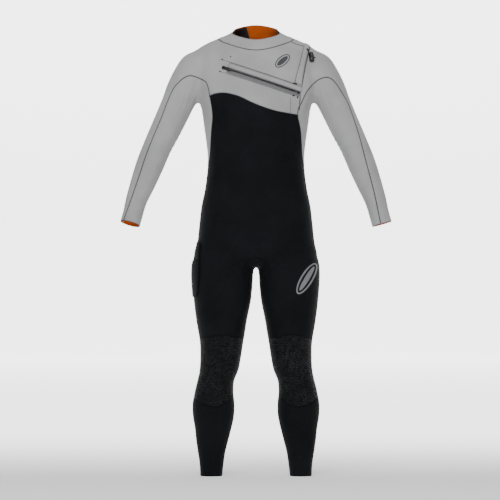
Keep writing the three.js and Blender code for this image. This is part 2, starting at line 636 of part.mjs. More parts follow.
// Stops at the closed end, and the pin and its box at the open end.
const stopAt = coilStart - 2.6 / zip.radius;
for (const [name, side] of [["upper", 1], ["lower", -1]]) {
  const stop = new THREE.BoxGeometry(3.6, 1.8, 2.2).translate(0, coilFoot + 0.9, -side * 1.7);
  place(`zip_stop_${name}`, atZip(stop, stopAt), steel);
}
const pinAt = coilEnd + 7.5 / zip.radius;
const pin = new THREE.BoxGeometry(13, 2, 2.2).translate(0, coilFoot + 1, -1.4);
place("zip_pin", atZip(pin, pinAt), blackPlastic);
const retainer = new THREE.BoxGeometry(9, 3, 3.2).translate(2, coilFoot + 1.5, 1.9);
place("zip_box", atZip(retainer, pinAt), blackPlastic);

// ---------------------------------------------------------------------------------------------------
// The drawcord at the shoulder and its lock
// ---------------------------------------------------------------------------------------------------

// A frame on the form's surface whose y runs up a line in x and z, and whose z stands off the surface.
function surfaceFrame(x, z, lean, lift) {
  const { point, normal } = onSurface(x, z);
  const up = V(Math.sin(lean), 0, Math.cos(lean));
  up.addScaledVector(normal, -up.dot(normal)).normalize();
  const across = up.clone().cross(normal);
  return new THREE.Matrix4().makeBasis(across, up, normal).setPosition(point.addScaledVector(normal, lift));
}

const lockRadius = 8;
const lockLong = 24;
const plungerRadius = 5.6;
const wellRadius = plungerRadius + gap;
const plungerLong = 19;
const plungerTravel = 5;
const lockAt = [chestHalf - 13, above(118)];
const lockLean = 0.2;
const lockFrame = surfaceFrame(...lockAt, lockLean, lockRadius + 1.1);
const turned = (profile, around = 12) =>
  new THREE.LatheGeometry(profile.map(([r, y]) => new THREE.Vector2(r, y)), around);

const cordRadius = 1.5;
const cordHole = cordRadius + gap;
const lockHalf = lockLong / 2;
const holeHeight = 3; // the cross hole, above the middle of the barrel
const tunnel = (radius, long, at) => {
  const bore = new THREE.CylinderGeometry(radius, radius, long, 10);
  bore.rotateZ(Math.PI / 2);
  bore.translate(0, at, 0);
  return solidOf(bore);
};
const barrel = solidOf(turned([
  [0, -lockHalf], [lockRadius - 2, -lockHalf], [lockRadius, -lockHalf + 2], [lockRadius, lockHalf - 1],
  [lockRadius - 1, lockHalf], [wellRadius, lockHalf], [wellRadius, -lockHalf + 2], [0, -lockHalf + 2],
]));
place("cord_lock_barrel",
  geometryOf(barrel.subtract(tunnel(cordHole, 40, holeHeight))).applyMatrix4(lockFrame), blackPlastic);

const plungerFoot = lockHalf - 12;
const button = solidOf(turned([
  [0, plungerFoot], [plungerRadius, plungerFoot], [plungerRadius, plungerFoot + plungerLong - 1.5],
  [plungerRadius - 1.5, plungerFoot + plungerLong], [0, plungerFoot + plungerLong],
]));
const slot = new THREE.BoxGeometry(40, 2 * cordHole + plungerTravel, 2 * cordHole);
slot.translate(0, holeHeight + plungerTravel / 2, 0);
place("cord_lock_plunger", geometryOf(button.subtract(solidOf(slot))).applyMatrix4(lockFrame), blackPlastic);

// The spring under the plunger, wound as a helix.
class Helix extends THREE.Curve {
  constructor(radius, bottom, top, turns) {
    super();
    Object.assign(this, { radius, bottom, top, turns });
  }
  getPoint(t, target = new THREE.Vector3()) {
    const turn = t * this.turns * 2 * Math.PI;
    const height = lerp(this.bottom, this.top, t);
    return target.set(this.radius * Math.cos(turn), height, this.radius * Math.sin(turn));
  }
}
const wire = 0.5;
const wireEnds = wire + gap;
const helix = new Helix(4, -lockHalf + 2 + wireEnds, plungerFoot - wireEnds, 3.5);
const wireOutline = new THREE.Shape().absarc(0, 0, wire, 0, 2 * Math.PI);
const springCoil = new THREE.ExtrudeGeometry(wireOutline, {
  extrudePath: helix, steps: 24, curveSegments: 2, bevelEnabled: false,
});
place("cord_lock_spring", springCoil.applyMatrix4(lockFrame), steel);

// The cord comes out of an eyelet in the welt's tip, passes down beside the barrel, turns into the
// cross hole and comes out on the other side, where a heat-sealed bead ends it.
const eyeletFoot = weltThickness + gap;
const eyeletTop = eyeletFoot + 1.3;
const eyeletFrame = surfaceFrame(chestHalf - 22, above(146), lockLean, 0);
const eyelet = turned([
  [cordHole, eyeletFoot], [4.2, eyeletFoot], [4.2, eyeletFoot + 0.5], [3.2, eyeletTop],
  [cordHole, eyeletTop], [cordHole, eyeletFoot],
]).rotateX(Math.PI / 2);
place("drawcord_eyelet", eyelet.applyMatrix4(eyeletFrame), steel);

const cordSide = lockRadius + 2.5;
const cordPath = new THREE.CatmullRomCurve3([
  V(0, 0, eyeletFoot).applyMatrix4(eyeletFrame),
  V(0, 0, eyeletTop + 1.5).applyMatrix4(eyeletFrame),
  ...[V(-cordSide + 1, lockHalf + 2, 0), V(-cordSide, holeHeight + 4, 0), V(-lockRadius - 0.8, holeHeight, 0),
    V(-lockRadius + 2, holeHeight, 0), V(0, holeHeight, 0), V(lockRadius + 1, holeHeight, 0.3),
    V(lockRadius + 3, holeHeight, 1)].map((point) => point.applyMatrix4(lockFrame)),
], false, "centripetal");
const cordOutline = new THREE.Shape().absarc(0, 0, cordRadius - 0.1, 0, 2 * Math.PI);
const cord = new THREE.ExtrudeGeometry(cordOutline, {
  extrudePath: cordPath, steps: 20, curveSegments: 4, bevelEnabled: false,
});
place("drawcord", cord, blackTape);
const knotRadius = 2.4;
const knot = new THREE.SphereGeometry(knotRadius, 8, 5);
knot.translate(lockRadius + 3 + knotRadius + gap, holeHeight, 1.5);
place("drawcord_end", knot.applyMatrix4(lockFrame), blackPlastic);

// The origin: the middle of the object's box from above, on the plane of the ankle hems.
const whole = new THREE.Box3().setFromObject(suit);
suit.position.set(-(whole.min.x + whole.max.x) / 2, -(whole.min.y + whole.max.y) / 2, 0);

export default suit;
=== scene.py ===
# %% [markdown]
# # A full wetsuit
# A wetsuit is a dozen or so flat panels of foamed rubber with knitted cloth on both sides, glued and
# stitched edge to edge. It opens across the chest with a short zip. The measured frame is loaded first,
# and every piece made here sits on it, in metres.

import json
import math

import bpy
import numpy as np
from mathutils import Matrix, Vector
from mathutils.bvhtree import BVHTree
from mathutils.kdtree import KDTree

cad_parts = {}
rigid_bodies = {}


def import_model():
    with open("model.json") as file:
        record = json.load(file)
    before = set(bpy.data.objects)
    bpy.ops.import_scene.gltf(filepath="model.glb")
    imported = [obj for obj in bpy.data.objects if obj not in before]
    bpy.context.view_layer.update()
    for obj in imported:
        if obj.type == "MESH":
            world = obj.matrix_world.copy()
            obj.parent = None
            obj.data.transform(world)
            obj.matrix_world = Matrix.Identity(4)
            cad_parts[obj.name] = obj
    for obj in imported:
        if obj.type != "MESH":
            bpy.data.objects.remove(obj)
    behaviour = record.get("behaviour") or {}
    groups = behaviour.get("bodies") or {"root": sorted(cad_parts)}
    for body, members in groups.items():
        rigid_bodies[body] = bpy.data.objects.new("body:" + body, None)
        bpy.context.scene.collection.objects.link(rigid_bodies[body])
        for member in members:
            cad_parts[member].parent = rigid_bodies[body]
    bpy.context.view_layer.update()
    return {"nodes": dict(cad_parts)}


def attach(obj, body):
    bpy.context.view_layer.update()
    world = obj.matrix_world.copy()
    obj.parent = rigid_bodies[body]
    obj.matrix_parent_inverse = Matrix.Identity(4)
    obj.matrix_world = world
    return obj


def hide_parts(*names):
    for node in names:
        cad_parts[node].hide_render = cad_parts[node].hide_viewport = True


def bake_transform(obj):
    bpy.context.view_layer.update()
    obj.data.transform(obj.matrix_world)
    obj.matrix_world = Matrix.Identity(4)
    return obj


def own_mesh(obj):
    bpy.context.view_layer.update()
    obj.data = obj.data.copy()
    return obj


for leftover in list(bpy.data.objects):
    bpy.data.objects.remove(leftover)
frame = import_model()
bpy.ops.object.select_all(action="DESELECT")
print("frame:", len(frame["nodes"]), "nodes")

# %% [markdown]
# ## Helpers for one piece at a time
# Blender's modifiers work on the active object. These helpers make a mesh, put a modifier on it and
# apply it at once, which keeps every later step to one line.

# %% Mesh and modifier helpers
MM = 0.001
FORM_BACK = -6.5  # mm that the whole suit moves forward, so that its depth is centred


def spot(x, y, z):
    """A place in the maker's millimetres as a place in the frame."""
    return Vector((x * MM, (y + FORM_BACK) * MM, z * MM))


def make(name, verts, faces):
    """A mesh object with its faces turned outwards."""
    mesh = bpy.data.meshes.new(name)
    mesh.from_pydata([tuple(v) for v in verts], [], faces)
    piece = bpy.data.objects.new(name, mesh)
    bpy.context.scene.collection.objects.link(piece)
    work_on(piece)
    bpy.ops.object.mode_set(mode="EDIT")
    bpy.ops.mesh.select_all(action="SELECT")
    bpy.ops.mesh.normals_make_consistent(inside=False)
    bpy.ops.object.mode_set(mode="OBJECT")
    return piece


def work_on(*pieces):
    """Selects only these pieces, and makes the first one active."""
    bpy.ops.object.select_all(action="DESELECT")
    for piece in pieces:
        piece.select_set(True)
    bpy.context.view_layer.objects.active = pieces[0]


def modify(piece, kind, **settings):
    """Adds one modifier and applies it."""
    modifier = piece.modifiers.new(kind.title(), kind)
    for name, value in settings.items():
        setattr(modifier, name, value)
    work_on(piece)
    bpy.ops.object.modifier_apply(modifier=modifier.name)


def combine(piece, other, operation):
    """A Boolean of two closed solids; the second one is used up."""
    modify(piece, "BOOLEAN", operation=operation, solver="MANIFOLD", object=other)
    bpy.data.objects.remove(other)


def copy_of(piece, name):
    twin = piece.copy()
    twin.data = piece.data.copy()
    twin.name = name
    bpy.context.scene.collection.objects.link(twin)
    return twin


def corners_of(piece):
    """All vertices of a piece as an array."""
    co = np.zeros(len(piece.data.vertices) * 3)
    piece.data.vertices.foreach_get("co", co)
    return co.reshape(-1, 3)


def normals_of(piece):
    normals = np.zeros(len(piece.data.vertices) * 3)
    piece.data.vertex_normals.foreach_get("vector", normals)
    return normals.reshape(-1, 3)


def put_corners(piece, co):
    piece.data.vertices.foreach_set("co", np.asarray(co, float).ravel())
    piece.data.update()


def smooth_line(rows, steps):
    """A smooth curve through the rows of a table, with so many steps from each row to the next."""
    rows = np.array(rows, float)
    last = len(rows) - 1
    out = []
    for i in range(last):
        a, b, c, d = rows[max(i - 1, 0)], rows[i], rows[i + 1], rows[min(i + 2, last)]
        for t in np.arange(steps) / steps:
            bend = (2 * a - 5 * b + 4 * c - d) * t**2 + (3 * b - a - 3 * c + d) * t**3
            out.append((2 * b + (c - a) * t + bend) / 2)
    return np.array(out + [rows[last]])


print("helpers ready")

# %% [markdown]
# ## The wearer's form
# A worn wetsuit has the shape of the body in it. The body is measured as sections up the torso, down a
# leg and along an arm, the way a tailor's form is made. Each table row is one section in millimetres:
# its place, its half-width, its half-depth, and how far its middle lies behind the plane y = 0.

# %% Sections of the torso, leg and arm
ARMPIT = 1215
NECK_BACK = 14
# z, half-width, half-depth, back, squareness
TORSO = [
    (672, 150, 62, 6, 2.0), (698, 194, 100, 8, 2.1), (748, 187, 117, 11, 2.1), (806, 181, 119, 13, 2.2),
    (864, 174, 113, 10, 2.2), (922, 162, 105, 7, 2.2), (998, 154, 102, 4, 2.2), (1056, 158, 105, 2, 2.3),
    (1114, 166, 109, 0, 2.3), (1171, 174, 114, -1, 2.3), (1215, 184, 118, -1, 2.3), (1260, 192, 117, 0, 2.3),
    (1300, 200, 111, 3, 2.2), (1335, 202, 98, 6, 2.1), (1363, 192, 83, 9, 2.0), (1382, 163, 71, 11, 1.9),
    (1402, 117, 62, 13, 1.9), (1412, 93, 60, 14, 2.0), (1427, 70, 58, 15, 2.0), (1455, 66, 58, 16, 2.0),
    (1500, 66, 58, 16, 2.0),
]
# z, middle's x, half-width, half-depth, back
LEG = [
    (-40, 143, 34, 38, 8), (0, 143, 35, 39, 8), (38, 142, 38, 40, 9), (77, 142, 44, 43, 11),
    (115, 140, 52, 49, 13), (154, 137, 59, 57, 14), (192, 136, 66, 63, 13), (230, 136, 67, 64, 11),
    (269, 134, 62, 61, 7), (307, 128, 59, 60, 2), (345, 117, 63, 65, -2), (422, 110, 69, 72, -1),
    (499, 110, 81, 84, 1), (576, 107, 93, 92, 3), (653, 106, 98, 97, 5), (700, 101, 95, 98, 7),
    (762, 84, 78, 84, 10),
]
# middle's x and z, half-width, half-depth, back
ARM = [
    (140, 1327, 34, 50, 8), (182, 1307, 58, 64, 7), (205, 1275, 61, 64, 5), (232, 1230, 57, 61, 3),
    (251, 1190, 52, 58, 1), (286, 1114, 49, 53, 0), (314, 1056, 46, 49, -1), (338, 998, 45, 47, -3),
    (360, 941, 41, 43, -5), (382, 883, 35, 37, -7), (392, 844, 33, 33, -8), (403, 805, 33, 31, -9),
    (414, 765, 33, 31, -10),
]
print(len(TORSO), "torso,", len(LEG), "leg and", len(ARM), "arm sections")

# %% [markdown]
# ## Three kinds of tube become one body
# Each table is lofted into a closed tube. The tubes run into each other at the shoulders and the hips,
# and a voxel remesh melts them into one skin, as clay would be. A little smoothing then rounds the
# armpits and the crotch, where stretched rubber bridges the hollow.

# %% Loft and melt the form
AROUND = 56


def ring(x, y, z, half, deep, power, up):
    """One section: an oval, or with a higher power a squarer one, square to the way up."""
    turn = np.linspace(0, 2 * np.pi, AROUND, endpoint=False)
    wide = half * np.sign(np.cos(turn)) * np.abs(np.cos(turn)) ** (2 / power)
    thick = deep * np.sign(np.sin(turn)) * np.abs(np.sin(turn)) ** (2 / power)
    return [spot(x + w * up[1], y + t, z - w * up[0]) for w, t in zip(wide, thick)]


def loft(name, rings):
    verts = [v for one in rings for v in one]
    faces = [tuple(range(AROUND)), tuple(len(verts) - 1 - i for i in range(AROUND))]
    for r in range(len(rings) - 1):
        for i in range(AROUND):
            j = (i + 1) % AROUND
            faces.append((r * AROUND + i, r * AROUND + j, (r + 1) * AROUND + j, (r + 1) * AROUND + i))
    return make(name, verts, faces)


def limb_rings(side):
    legs = [
        ring(side * x, back, z, half, deep, 2, (0, 1))
        for z, x, half, deep, back in smooth_line(LEG, 4)
    ]
    rows = smooth_line(ARM, 4)
    arms = []
    for i, (x, z, half, deep, back) in enumerate(rows):
        before, after = rows[max(0, i - 1)], rows[min(len(rows) - 1, i + 1)]
        run = np.array([side * (after[0] - before[0]), after[1] - before[1]])
        run = -run / np.linalg.norm(run)
        arms.append(ring(side * x, back, z, half, deep, 2, run))
    return legs, arms


SKIN_VOXEL = 0.005
form = loft("form", [ring(0, b, z, h, d, p, (0, 1)) for z, h, d, b, p in smooth_line(TORSO, 4)])
tubes = [form]
for side in (-1, 1):
    for part, rings in zip(("leg", "arm"), limb_rings(side)):
        tubes.append(loft(part, rings))
work_on(*tubes)
bpy.ops.object.join()
modify(form, "REMESH", mode="VOXEL", voxel_size=SKIN_VOXEL)
modify(form, "SMOOTH", factor=0.5, iterations=10)
print("form:", len(form.data.polygons), "faces")

# %% [markdown]
# ## Bridged hollows and soft folds
# Rubber cloth cannot follow a sharp hollow. The armpits and the crotch are smoothed harder, by a vertex
# group that fades out around each one. Then shallow folds are pressed into the places where the cloth
# is pushed together: inside the elbows, under the arms, behind the knees and at the waist.

# %% Smooth the hollows, press in the folds
HOLLOWS = [
    ((0, 0, 678), 75), ((-196, 0, 1212), 60), ((196, 0, 1212), 60),
    ((-190, 0, 1360), 45), ((190, 0, 1360), 45),
]
co = corners_of(form)
group = form.vertex_groups.new(name="hollows")
for (x, y, z), reach in HOLLOWS:
    centre = spot(x, y, z)
    away = np.hypot(co[:, 0] - centre.x, co[:, 2] - centre.z) / (reach * MM)
    for i in np.flatnonzero(away < 1):
        group.add([int(i)], float(1 - away[i] ** 2), "ADD")
modify(form, "SMOOTH", factor=0.6, iterations=40, vertex_group="hollows")
form.vertex_groups.clear()

co, normals = corners_of(form), normals_of(form)


def fold(co, centre, run, reach, pitch, depth, facing=None):
    """Ripples across a direction, fading out with distance, deepest where the skin faces one way."""
    off = co - np.array(spot(*centre))
    along = off @ (np.array(run, float) / np.linalg.norm(run))
    fade = np.exp(-((np.linalg.norm(off, axis=1) / (reach * MM)) ** 2))
    if facing is not None:
        toward = np.array(facing, float) / np.linalg.norm(facing)
        fade = fade * np.clip(normals @ toward + 0.35, 0, 1)
    bend = 0.25 * np.sin(off[:, 0] * 90 + off[:, 1] * 140)
    return depth * MM * fade * np.cos(along / (pitch * MM) * 2 * np.pi + 3 * bend)


push = np.zeros(len(co))
for side in (-1, 1):
    push += fold(co, (side * 296, -20, 1075), (side * 0.4, 0, -0.9), 60, 19, 1.0, (-side, -0.6, 0))
    push += fold(co, (side * 232, -30, 1215), (side * 0.9, 0, 0.3), 48, 17, 1.3, (-side, -1, -0.4))
    push += fold(co, (side * 188, -20, 1196), (side * 0.5, 0, 0.9), 45, 20, 0.9, (side, -1, 0))
    push += fold(co, (side * 118, 60, 345), (0, 0.2, 1), 60, 20, 1.3, (0, 1, 0))
    push += fold(co, (side * 60, -80, 690), (side * 0.5, 0, 1), 60, 24, 0.8, (0, -1, 0))
    push += fold(co, (side * 120, 70, 700), (0, 0, 1), 60, 26, 1.2, (0, 1, -0.5))
push += fold(co, (0, 95, 985), (0, 0, 1), 110, 34, 1.4, (0, 1, 0))
put_corners(form, co + normals * push[:, None])
print("folds up to", round(float(np.abs(push).max()) * 1000, 1), "mm")

# %% [markdown]
# ## A flat place for the zip
# A zip is stiffer than the cloth, so the chest lies along the zip's own arc and not the other way
# round. The skin near it is drawn onto the arc that the slider runs on.

# %% Draw the chest onto the zip's arc
ZIP_CENTRE = spot(10.91, 204.14, 1269.02)
ZIP_RADIUS = 0.31879
ZIP_START, ZIP_END = -0.33225, 0.44429
ALONG = Vector((0.94943, 0, -0.31399))
RISE = Vector((0.31399, 0, 0.94943))
ZIP_SLOPE = math.asin(0.31399)
OUT = Vector((0, -1, 0))
SLOT_HALF = 16
CHAIN_DROP = 4


def zip_place(turn, up=0.0, lift=0.0):
    """A place on the zip: an angle round its arc, millimetres up the chest and off the tape's middle."""
    r = ZIP_RADIUS + lift * MM
    return ZIP_CENTRE + ALONG * (r * math.sin(turn)) + OUT * (r * math.cos(turn)) + RISE * (up * MM)


def fade(value, near, far):
    """1 up to near, 0 from far on, smooth between."""
    t = np.clip((far - value) / (far - near), 0, 1)
    return t * t * (3 - 2 * t)


co, normals = corners_of(form), normals_of(form)
off = co - np.array(ZIP_CENTRE)
s, h = off @ np.array(ALONG), off @ np.array(RISE)
middle = ZIP_RADIUS * (math.sin(ZIP_START) + math.sin(ZIP_END)) / 2
long_way = np.abs(s - middle) - ZIP_RADIUS * (math.sin(ZIP_END) - math.sin(ZIP_START)) / 2
weight = fade(np.abs(h), 0.026, 0.075) * fade(long_way, 0.006, 0.05) * (normals[:, 1] < -0.2)
on_arc = ZIP_CENTRE.y - np.sqrt(np.maximum((ZIP_RADIUS + 0.0012) ** 2 - s**2, 0))
moved = weight * (on_arc - co[:, 1])
co[:, 1] += moved
put_corners(form, co)
print("the chest moved by at most", round(float(np.abs(moved).max()) * 1000, 1), "mm")

# %% [markdown]
# ## From a skin to a wall
# The neoprene is 4 mm thick. A copy of the skin is moved in along its normals and turned inside out,
# and both together are one hollow body. Its ends run past the hems, and are cut off square at the
# wrists and ankles and in a curve at the collar's rim.

# %% Make the wall and trim its openings
NEOPRENE = 4


def inset(piece, name, by):
    inner = copy_of(piece, name)
    put_corners(inner, corners_of(inner) - normals_of(inner) * by * MM)
    return inner


def tree_of(piece):
    mesh = piece.data
    return BVHTree.FromPolygons([v.co for v in mesh.vertices], [p.vertices for p in mesh.polygons])


inner_form = inset(form, "inner_form", NEOPRENE)
outer_tree, inner_tree = tree_of(form), tree_of(inner_form)
wall = copy_of(form, "wall")
inner_form.data.flip_normals()
work_on(wall, inner_form)
bpy.ops.object.join()


def block(name, centre, size, turn=0.0, tilt=0.0):
    """A plain block that only cuts: its middle, its size in millimetres, turned about the y axis after
    it is tilted about the x axis through the middle of its top."""
    bpy.ops.object.select_all(action="DESELECT")
    bpy.ops.mesh.primitive_cube_add(size=1, location=(0, 0, 0))
    cutter = bpy.context.object
    cutter.name = name
    top = Matrix.Translation((0, 0, size[2] * MM / 2))
    place = Matrix.Translation(spot(*centre)) @ Matrix.Rotation(turn, 4, "Y")
    place = place @ top @ Matrix.Rotation(tilt, 4, "X") @ top.inverted()
    cutter.data.transform(place @ Matrix.Diagonal((*(s * MM for s in size), 1)))
    return cutter


def neck_turn(x, y):
    """How far round the neck a place lies: 0 in front, half a turn behind."""
    return np.abs(np.arctan2(x, NECK_BACK - y))


def neck_height(turn, front, side, back):
    climb = np.minimum(1, 1 - np.cos(turn)) ** 0.85
    return front + (side - front) * climb + np.maximum(0, -np.cos(turn)) * (back - side)


def neck_plate(name, heights, thickness):
    """A curved plate across the neck, whose foot follows the given heights."""
    count = 49
    steps = np.linspace(-120, 120, count)
    verts, faces = [], []
    for up in (0, thickness):
        for y in steps:
            for x in steps:
                z = neck_height(neck_turn(x, y), *heights)
                verts.append(spot(x, y + NECK_BACK, z + up))
    layer = count * count
    for j in range(count - 1):
        for i in range(count - 1):
            a = j * count + i
            faces.append((a, a + 1, a + count + 1, a + count))
            faces.append(tuple(layer + v for v in (a, a + count, a + count + 1, a + 1)))
    rim = [i for i in range(count)] + [(j + 1) * count - 1 for j in range(1, count)]
    rim += [layer - 1 - i for i in range(1, count)] + [j * count for j in range(count - 2, 0, -1)]
    for a, b in zip(rim, rim[1:] + rim[:1]):
        faces.append((a, b, b + layer, a + layer))
    return make(name, verts, faces)


RIM = (1394, 1431, 1446)
COLLAR_SEAM = (1359, 1410, 1407)
CUFF = (403, 805)
CUFF_TILT = {-1: 13, 1: 4}  # degrees by which a cuff's front stands higher than its back
cuff_run = math.atan2(CUFF[0] - 392, 844 - CUFF[1])
combine(wall, neck_plate("rim_cutter", RIM, 200), "DIFFERENCE")
for side in (-1, 1):
    reach = 60
    x = side * (CUFF[0] + reach * math.sin(cuff_run))
    z = CUFF[1] - reach * math.cos(cuff_run)
    tilt = -math.radians(CUFF_TILT[side])
    cutter = block("cuff_cutter", (x, 0, z), (200, 200, 2 * reach), -side * cuff_run, tilt)
    combine(wall, cutter, "DIFFERENCE")
    combine(wall, block("ankle_cutter", (side * 143, 0, -50), (200, 200, 100)), "DIFFERENCE")
print("wall:", len(wall.data.polygons), "faces")

# %% [markdown]
# ## Seam lines
# The seams are drawn as a pattern cutter would, as curves across the front or the back. Each becomes a
# thin blade that passes through the wall, and the wall falls apart into its panels. All the blades are
# first made one cutter, so that they cross cleanly.

# %% The blades of every seam
KERF = 0.25
FAR = 400


def blade(name, points, near, far, steps=6):
    """A thin upright blade along a smooth curve in x and z, from y = near to y = far."""
    line = smooth_line(points, steps)
    run = np.gradient(line, axis=0)
    run /= np.linalg.norm(run, axis=1)[:, None]
    normal = np.stack([-run[:, 1], run[:, 0]], axis=1) * KERF / 2
    outline = list(line + normal) + list((line - normal)[::-1])
    verts = [spot(x, near, z) for x, z in outline] + [spot(x, far, z) for x, z in outline]
    n = len(line)
    count = 2 * n
    faces = []
    for i in range(count):
        j = (i + 1) % count
        faces.append((i, j, j + count, i + count))
    for i in range(n - 1):
        a, b = i, count - 1 - i
        faces.append((a, a + 1, b - 1, b))
        faces.append((a + count, b + count, b - 1 + count, a + 1 + count))
    return make(name, verts, faces)


def at(rows, z, column):
    """A table's column read off at a height."""
    table = np.array(sorted(rows, key=lambda row: row[0]), float)
    return float(np.interp(z, table[:, 0], table[:, column]))


ARM_BY_HEIGHT = [(z, x, half) for x, z, half, _, _ in ARM]
SIDE_SEAM = 6
CHEST_HALF = 184
STRIP = [(963, -6), (979, 0), (1028, 9), (1101, 22)]


def underarm_line(side, strip, arch, sleeve):
    """Up the side of the torso, over the arch at the shoulder, and down the sleeve."""
    line = [(side * (at(TORSO, z, 1) - width), z) for z, width in strip]
    line += [(side * (CHEST_HALF + out), ARMPIT + rise) for out, rise in arch]
    for rise, share in sleeve:
        z = ARMPIT + rise
        x = at(ARM_BY_HEIGHT, z, 1) + share * at(ARM_BY_HEIGHT, z, 2) / math.cos(0.42)
        line.append((side * x, z))
    return line


RIGHT_UNDERARM = underarm_line(
    -1, STRIP + [(1151, 33), (1203, 36)],
    [(-29, 34), (-15, 49), (20, 63), (43, 58), (65, 40), (81, 20), (101, -25)],
    [(-71, 0.55), (-170, 0.5), (-254, 0.43), (-325, 0.45), (-380, 0.62), (-432, 0.75)],
)
LEFT_UNDERARM = underarm_line(
    1, STRIP + [(1152, 39)],
    [(-47, -37), (-40, -25), (-26, 5), (-10, 28), (13, 49), (37, 58), (55, 54), (72, 38), (88, 13),
     (111, -28)],
    [(-114, 0.62), (-221, 0.29), (-311, 0.08), (-418, -0.15), (-436, -0.18)],
)
CHEST_SEAM = [(-150, 1212), (-127, 1220), (-94, 1221), (-53, 1210), (-13, 1191), (28, 1175), (69, 1163),
              (134, 1152)]
BACK_SEAM = [(-141, 1165), (-70, 1149), (0, 1141), (70, 1149), (139, 1165)]
FLAP_EDGE = [(176, 1393), (173, 1375), (161, 1323), (153, 1284), (145, 1241), (141, 1215), (137.5, 1168)]
SHOULDER_SEAM = [(78, 1410), (96, 1395), (131, 1379), (153, 1374), (175, 1377)]
RIGHT_RAGLAN = [(-84, 1412), (-144, 1350), (-200, 1276)]
LEFT_RAGLAN = [(175, 1395), (180, 1335), (198, 1263)]
GUSSET = [(-9, 560), (-26, 580), (-42, 648), (-30, 684), (0, 699), (30, 684), (42, 648), (26, 580), (9, 560)]
KNEE_TOP = [(30, 440), (52, 443), (74, 445), (92, 451), (110, 453), (132, 451), (150, 446), (172, 441),
            (194, 437)]
KNEE_FOOT = [(46, 261), (76, 253), (94, 237), (116, 226), (144, 224), (172, 233), (192, 247), (220, 261)]
SLOT_LONG = ZIP_RADIUS * (math.sin(ZIP_END) - math.sin(ZIP_START)) / MM + 1

behind = SIDE_SEAM + 0.1
blades = [
    blade("underarm", RIGHT_UNDERARM, -FAR, FAR),
    blade("underarm", LEFT_UNDERARM, -FAR, FAR),
    blade("chest_seam", CHEST_SEAM, -FAR, behind),
    blade("back_seam", BACK_SEAM, behind, FAR),
    blade("flap_edge", FLAP_EDGE, -FAR, NECK_BACK),
    blade("shoulder_seam", SHOULDER_SEAM, -FAR, NECK_BACK),
    blade("raglan", RIGHT_RAGLAN, NECK_BACK, FAR),
    blade("raglan", LEFT_RAGLAN, NECK_BACK, FAR),
    blade("gusset", GUSSET, -FAR, FAR),
    block("flap_top", (165.5, NECK_BACK, 1377.5), (31, KERF, 45)),
]
slot_middle = ZIP_CENTRE + ALONG * middle
slot_place = (slot_middle.x / MM, -100 - FORM_BACK, slot_middle.z / MM)
blades.append(block("zip_slot", slot_place, (SLOT_LONG, 160, 2 * SLOT_HALF), ZIP_SLOPE))
for side in (-1, 1):
    blades.append(block("side_seam", (side * 170, SIDE_SEAM, 496), (140, KERF, 1034)))
    blades.append(block("inner_leg_seam", (side * 51, SIDE_SEAM, 278), (100, KERF, 596)))
    blades.append(blade("knee_top", [(side * x, z) for x, z in KNEE_TOP], -FAR, FAR))
    blades.append(blade("knee_foot", [(side * x, z) for x, z in KNEE_FOOT], -FAR, FAR))
collar = copy_of(wall, "collar_panel")
combine(collar, neck_plate("over_seam", COLLAR_SEAM, 200), "INTERSECT")
combine(wall, neck_plate("over_seam", [height - KERF for height in COLLAR_SEAM], 200), "DIFFERENCE")
cutter = blades[0]
for other in blades[1:]:
    combine(cutter, other, "UNION")
combine(wall, cutter, "DIFFERENCE")
print("wall with seams:", len(wall.data.polygons), "faces")

# %% [markdown]
# ## Naming the panels
# Cut through, the wall is many loose parts in one mesh. They are separated, and each panel is known by
# a place on it. Both sleeves here are one piece from shoulder to wrist, as the real ones are cut.

# %% Separate and name the panels
work_on(wall)
bpy.ops.mesh.separate(type="LOOSE")
loose = list(bpy.context.selected_objects)
parts = [p for p in loose if len(p.data.polygons) > 150]
for crumb in set(loose) - set(parts):
    bpy.data.objects.remove(crumb)
trees = [(part, tree_of(part)) for part in parts]


def surface(x, z, side=-1):
    """The place on the skin in front of (side -1) or behind (side 1) a place in x and z, and its normal."""
    start = spot(x, side * 900, z)
    place, normal, _, _ = outer_tree.ray_cast(start, Vector((0, -side, 0)))
    return place, normal


def part_at(x, z, side=-1):
    place, _ = surface(x, z, side)
    return min(trees, key=lambda one: one[1].find_nearest(place)[3])[0]


SEEDS = {
    "chest_yoke": (-60, 1335, -1), "left_shoulder": (196, 1290, -1), "upper_back": (0, 1275, 1),
    "front_body": (0, 1015, -1), "lower_back": (0, 1015, 1), "gusset": (0, 684, -1),
}
for hand, side in (("right", -1), ("left", 1)):
    SEEDS[f"underarm_{hand}"] = (side * 270, 1120, -1)
    SEEDS[f"knee_pad_{hand}"] = (side * 117, 345, -1)
    SEEDS[f"knee_back_{hand}"] = (side * 117, 345, 1)
    SEEDS[f"shin_{hand}"] = (side * 138, 120, -1)
    SEEDS[f"calf_{hand}"] = (side * 138, 120, 1)
panels = {"collar": collar}
for name, seed in SEEDS.items():
    panel = part_at(*seed)
    if panel in panels.values():
        raise RuntimeError(f"{name} is the same part as another panel: a seam leaves them joined")
    panel.name = f"{name}_panel"
    panels[name] = panel
for part in parts:
    if part not in panels.values():
        print("left over:", part.name, len(part.data.polygons))
        bpy.data.objects.remove(part)
print(len(panels), "panels")

# %% [markdown]
# ## Three faces of one panel
# A cut panel shows three things: the knitted outside, the bright lining, and at its edge the black foam
# between them. Each face is sorted by the form it lies on. Every corner also keeps its distance to the
# panel's edge, which the cloth's material uses to pucker and to paint shade along the seams.

# %% Sort the faces and measure the edge distance
OUTSIDE, LINING, FOAM = 0, 1, 2
NEAR = 0.0003


SPECK = 0.0001  # square metres; a smaller patch of foam is a face of the skin that strayed


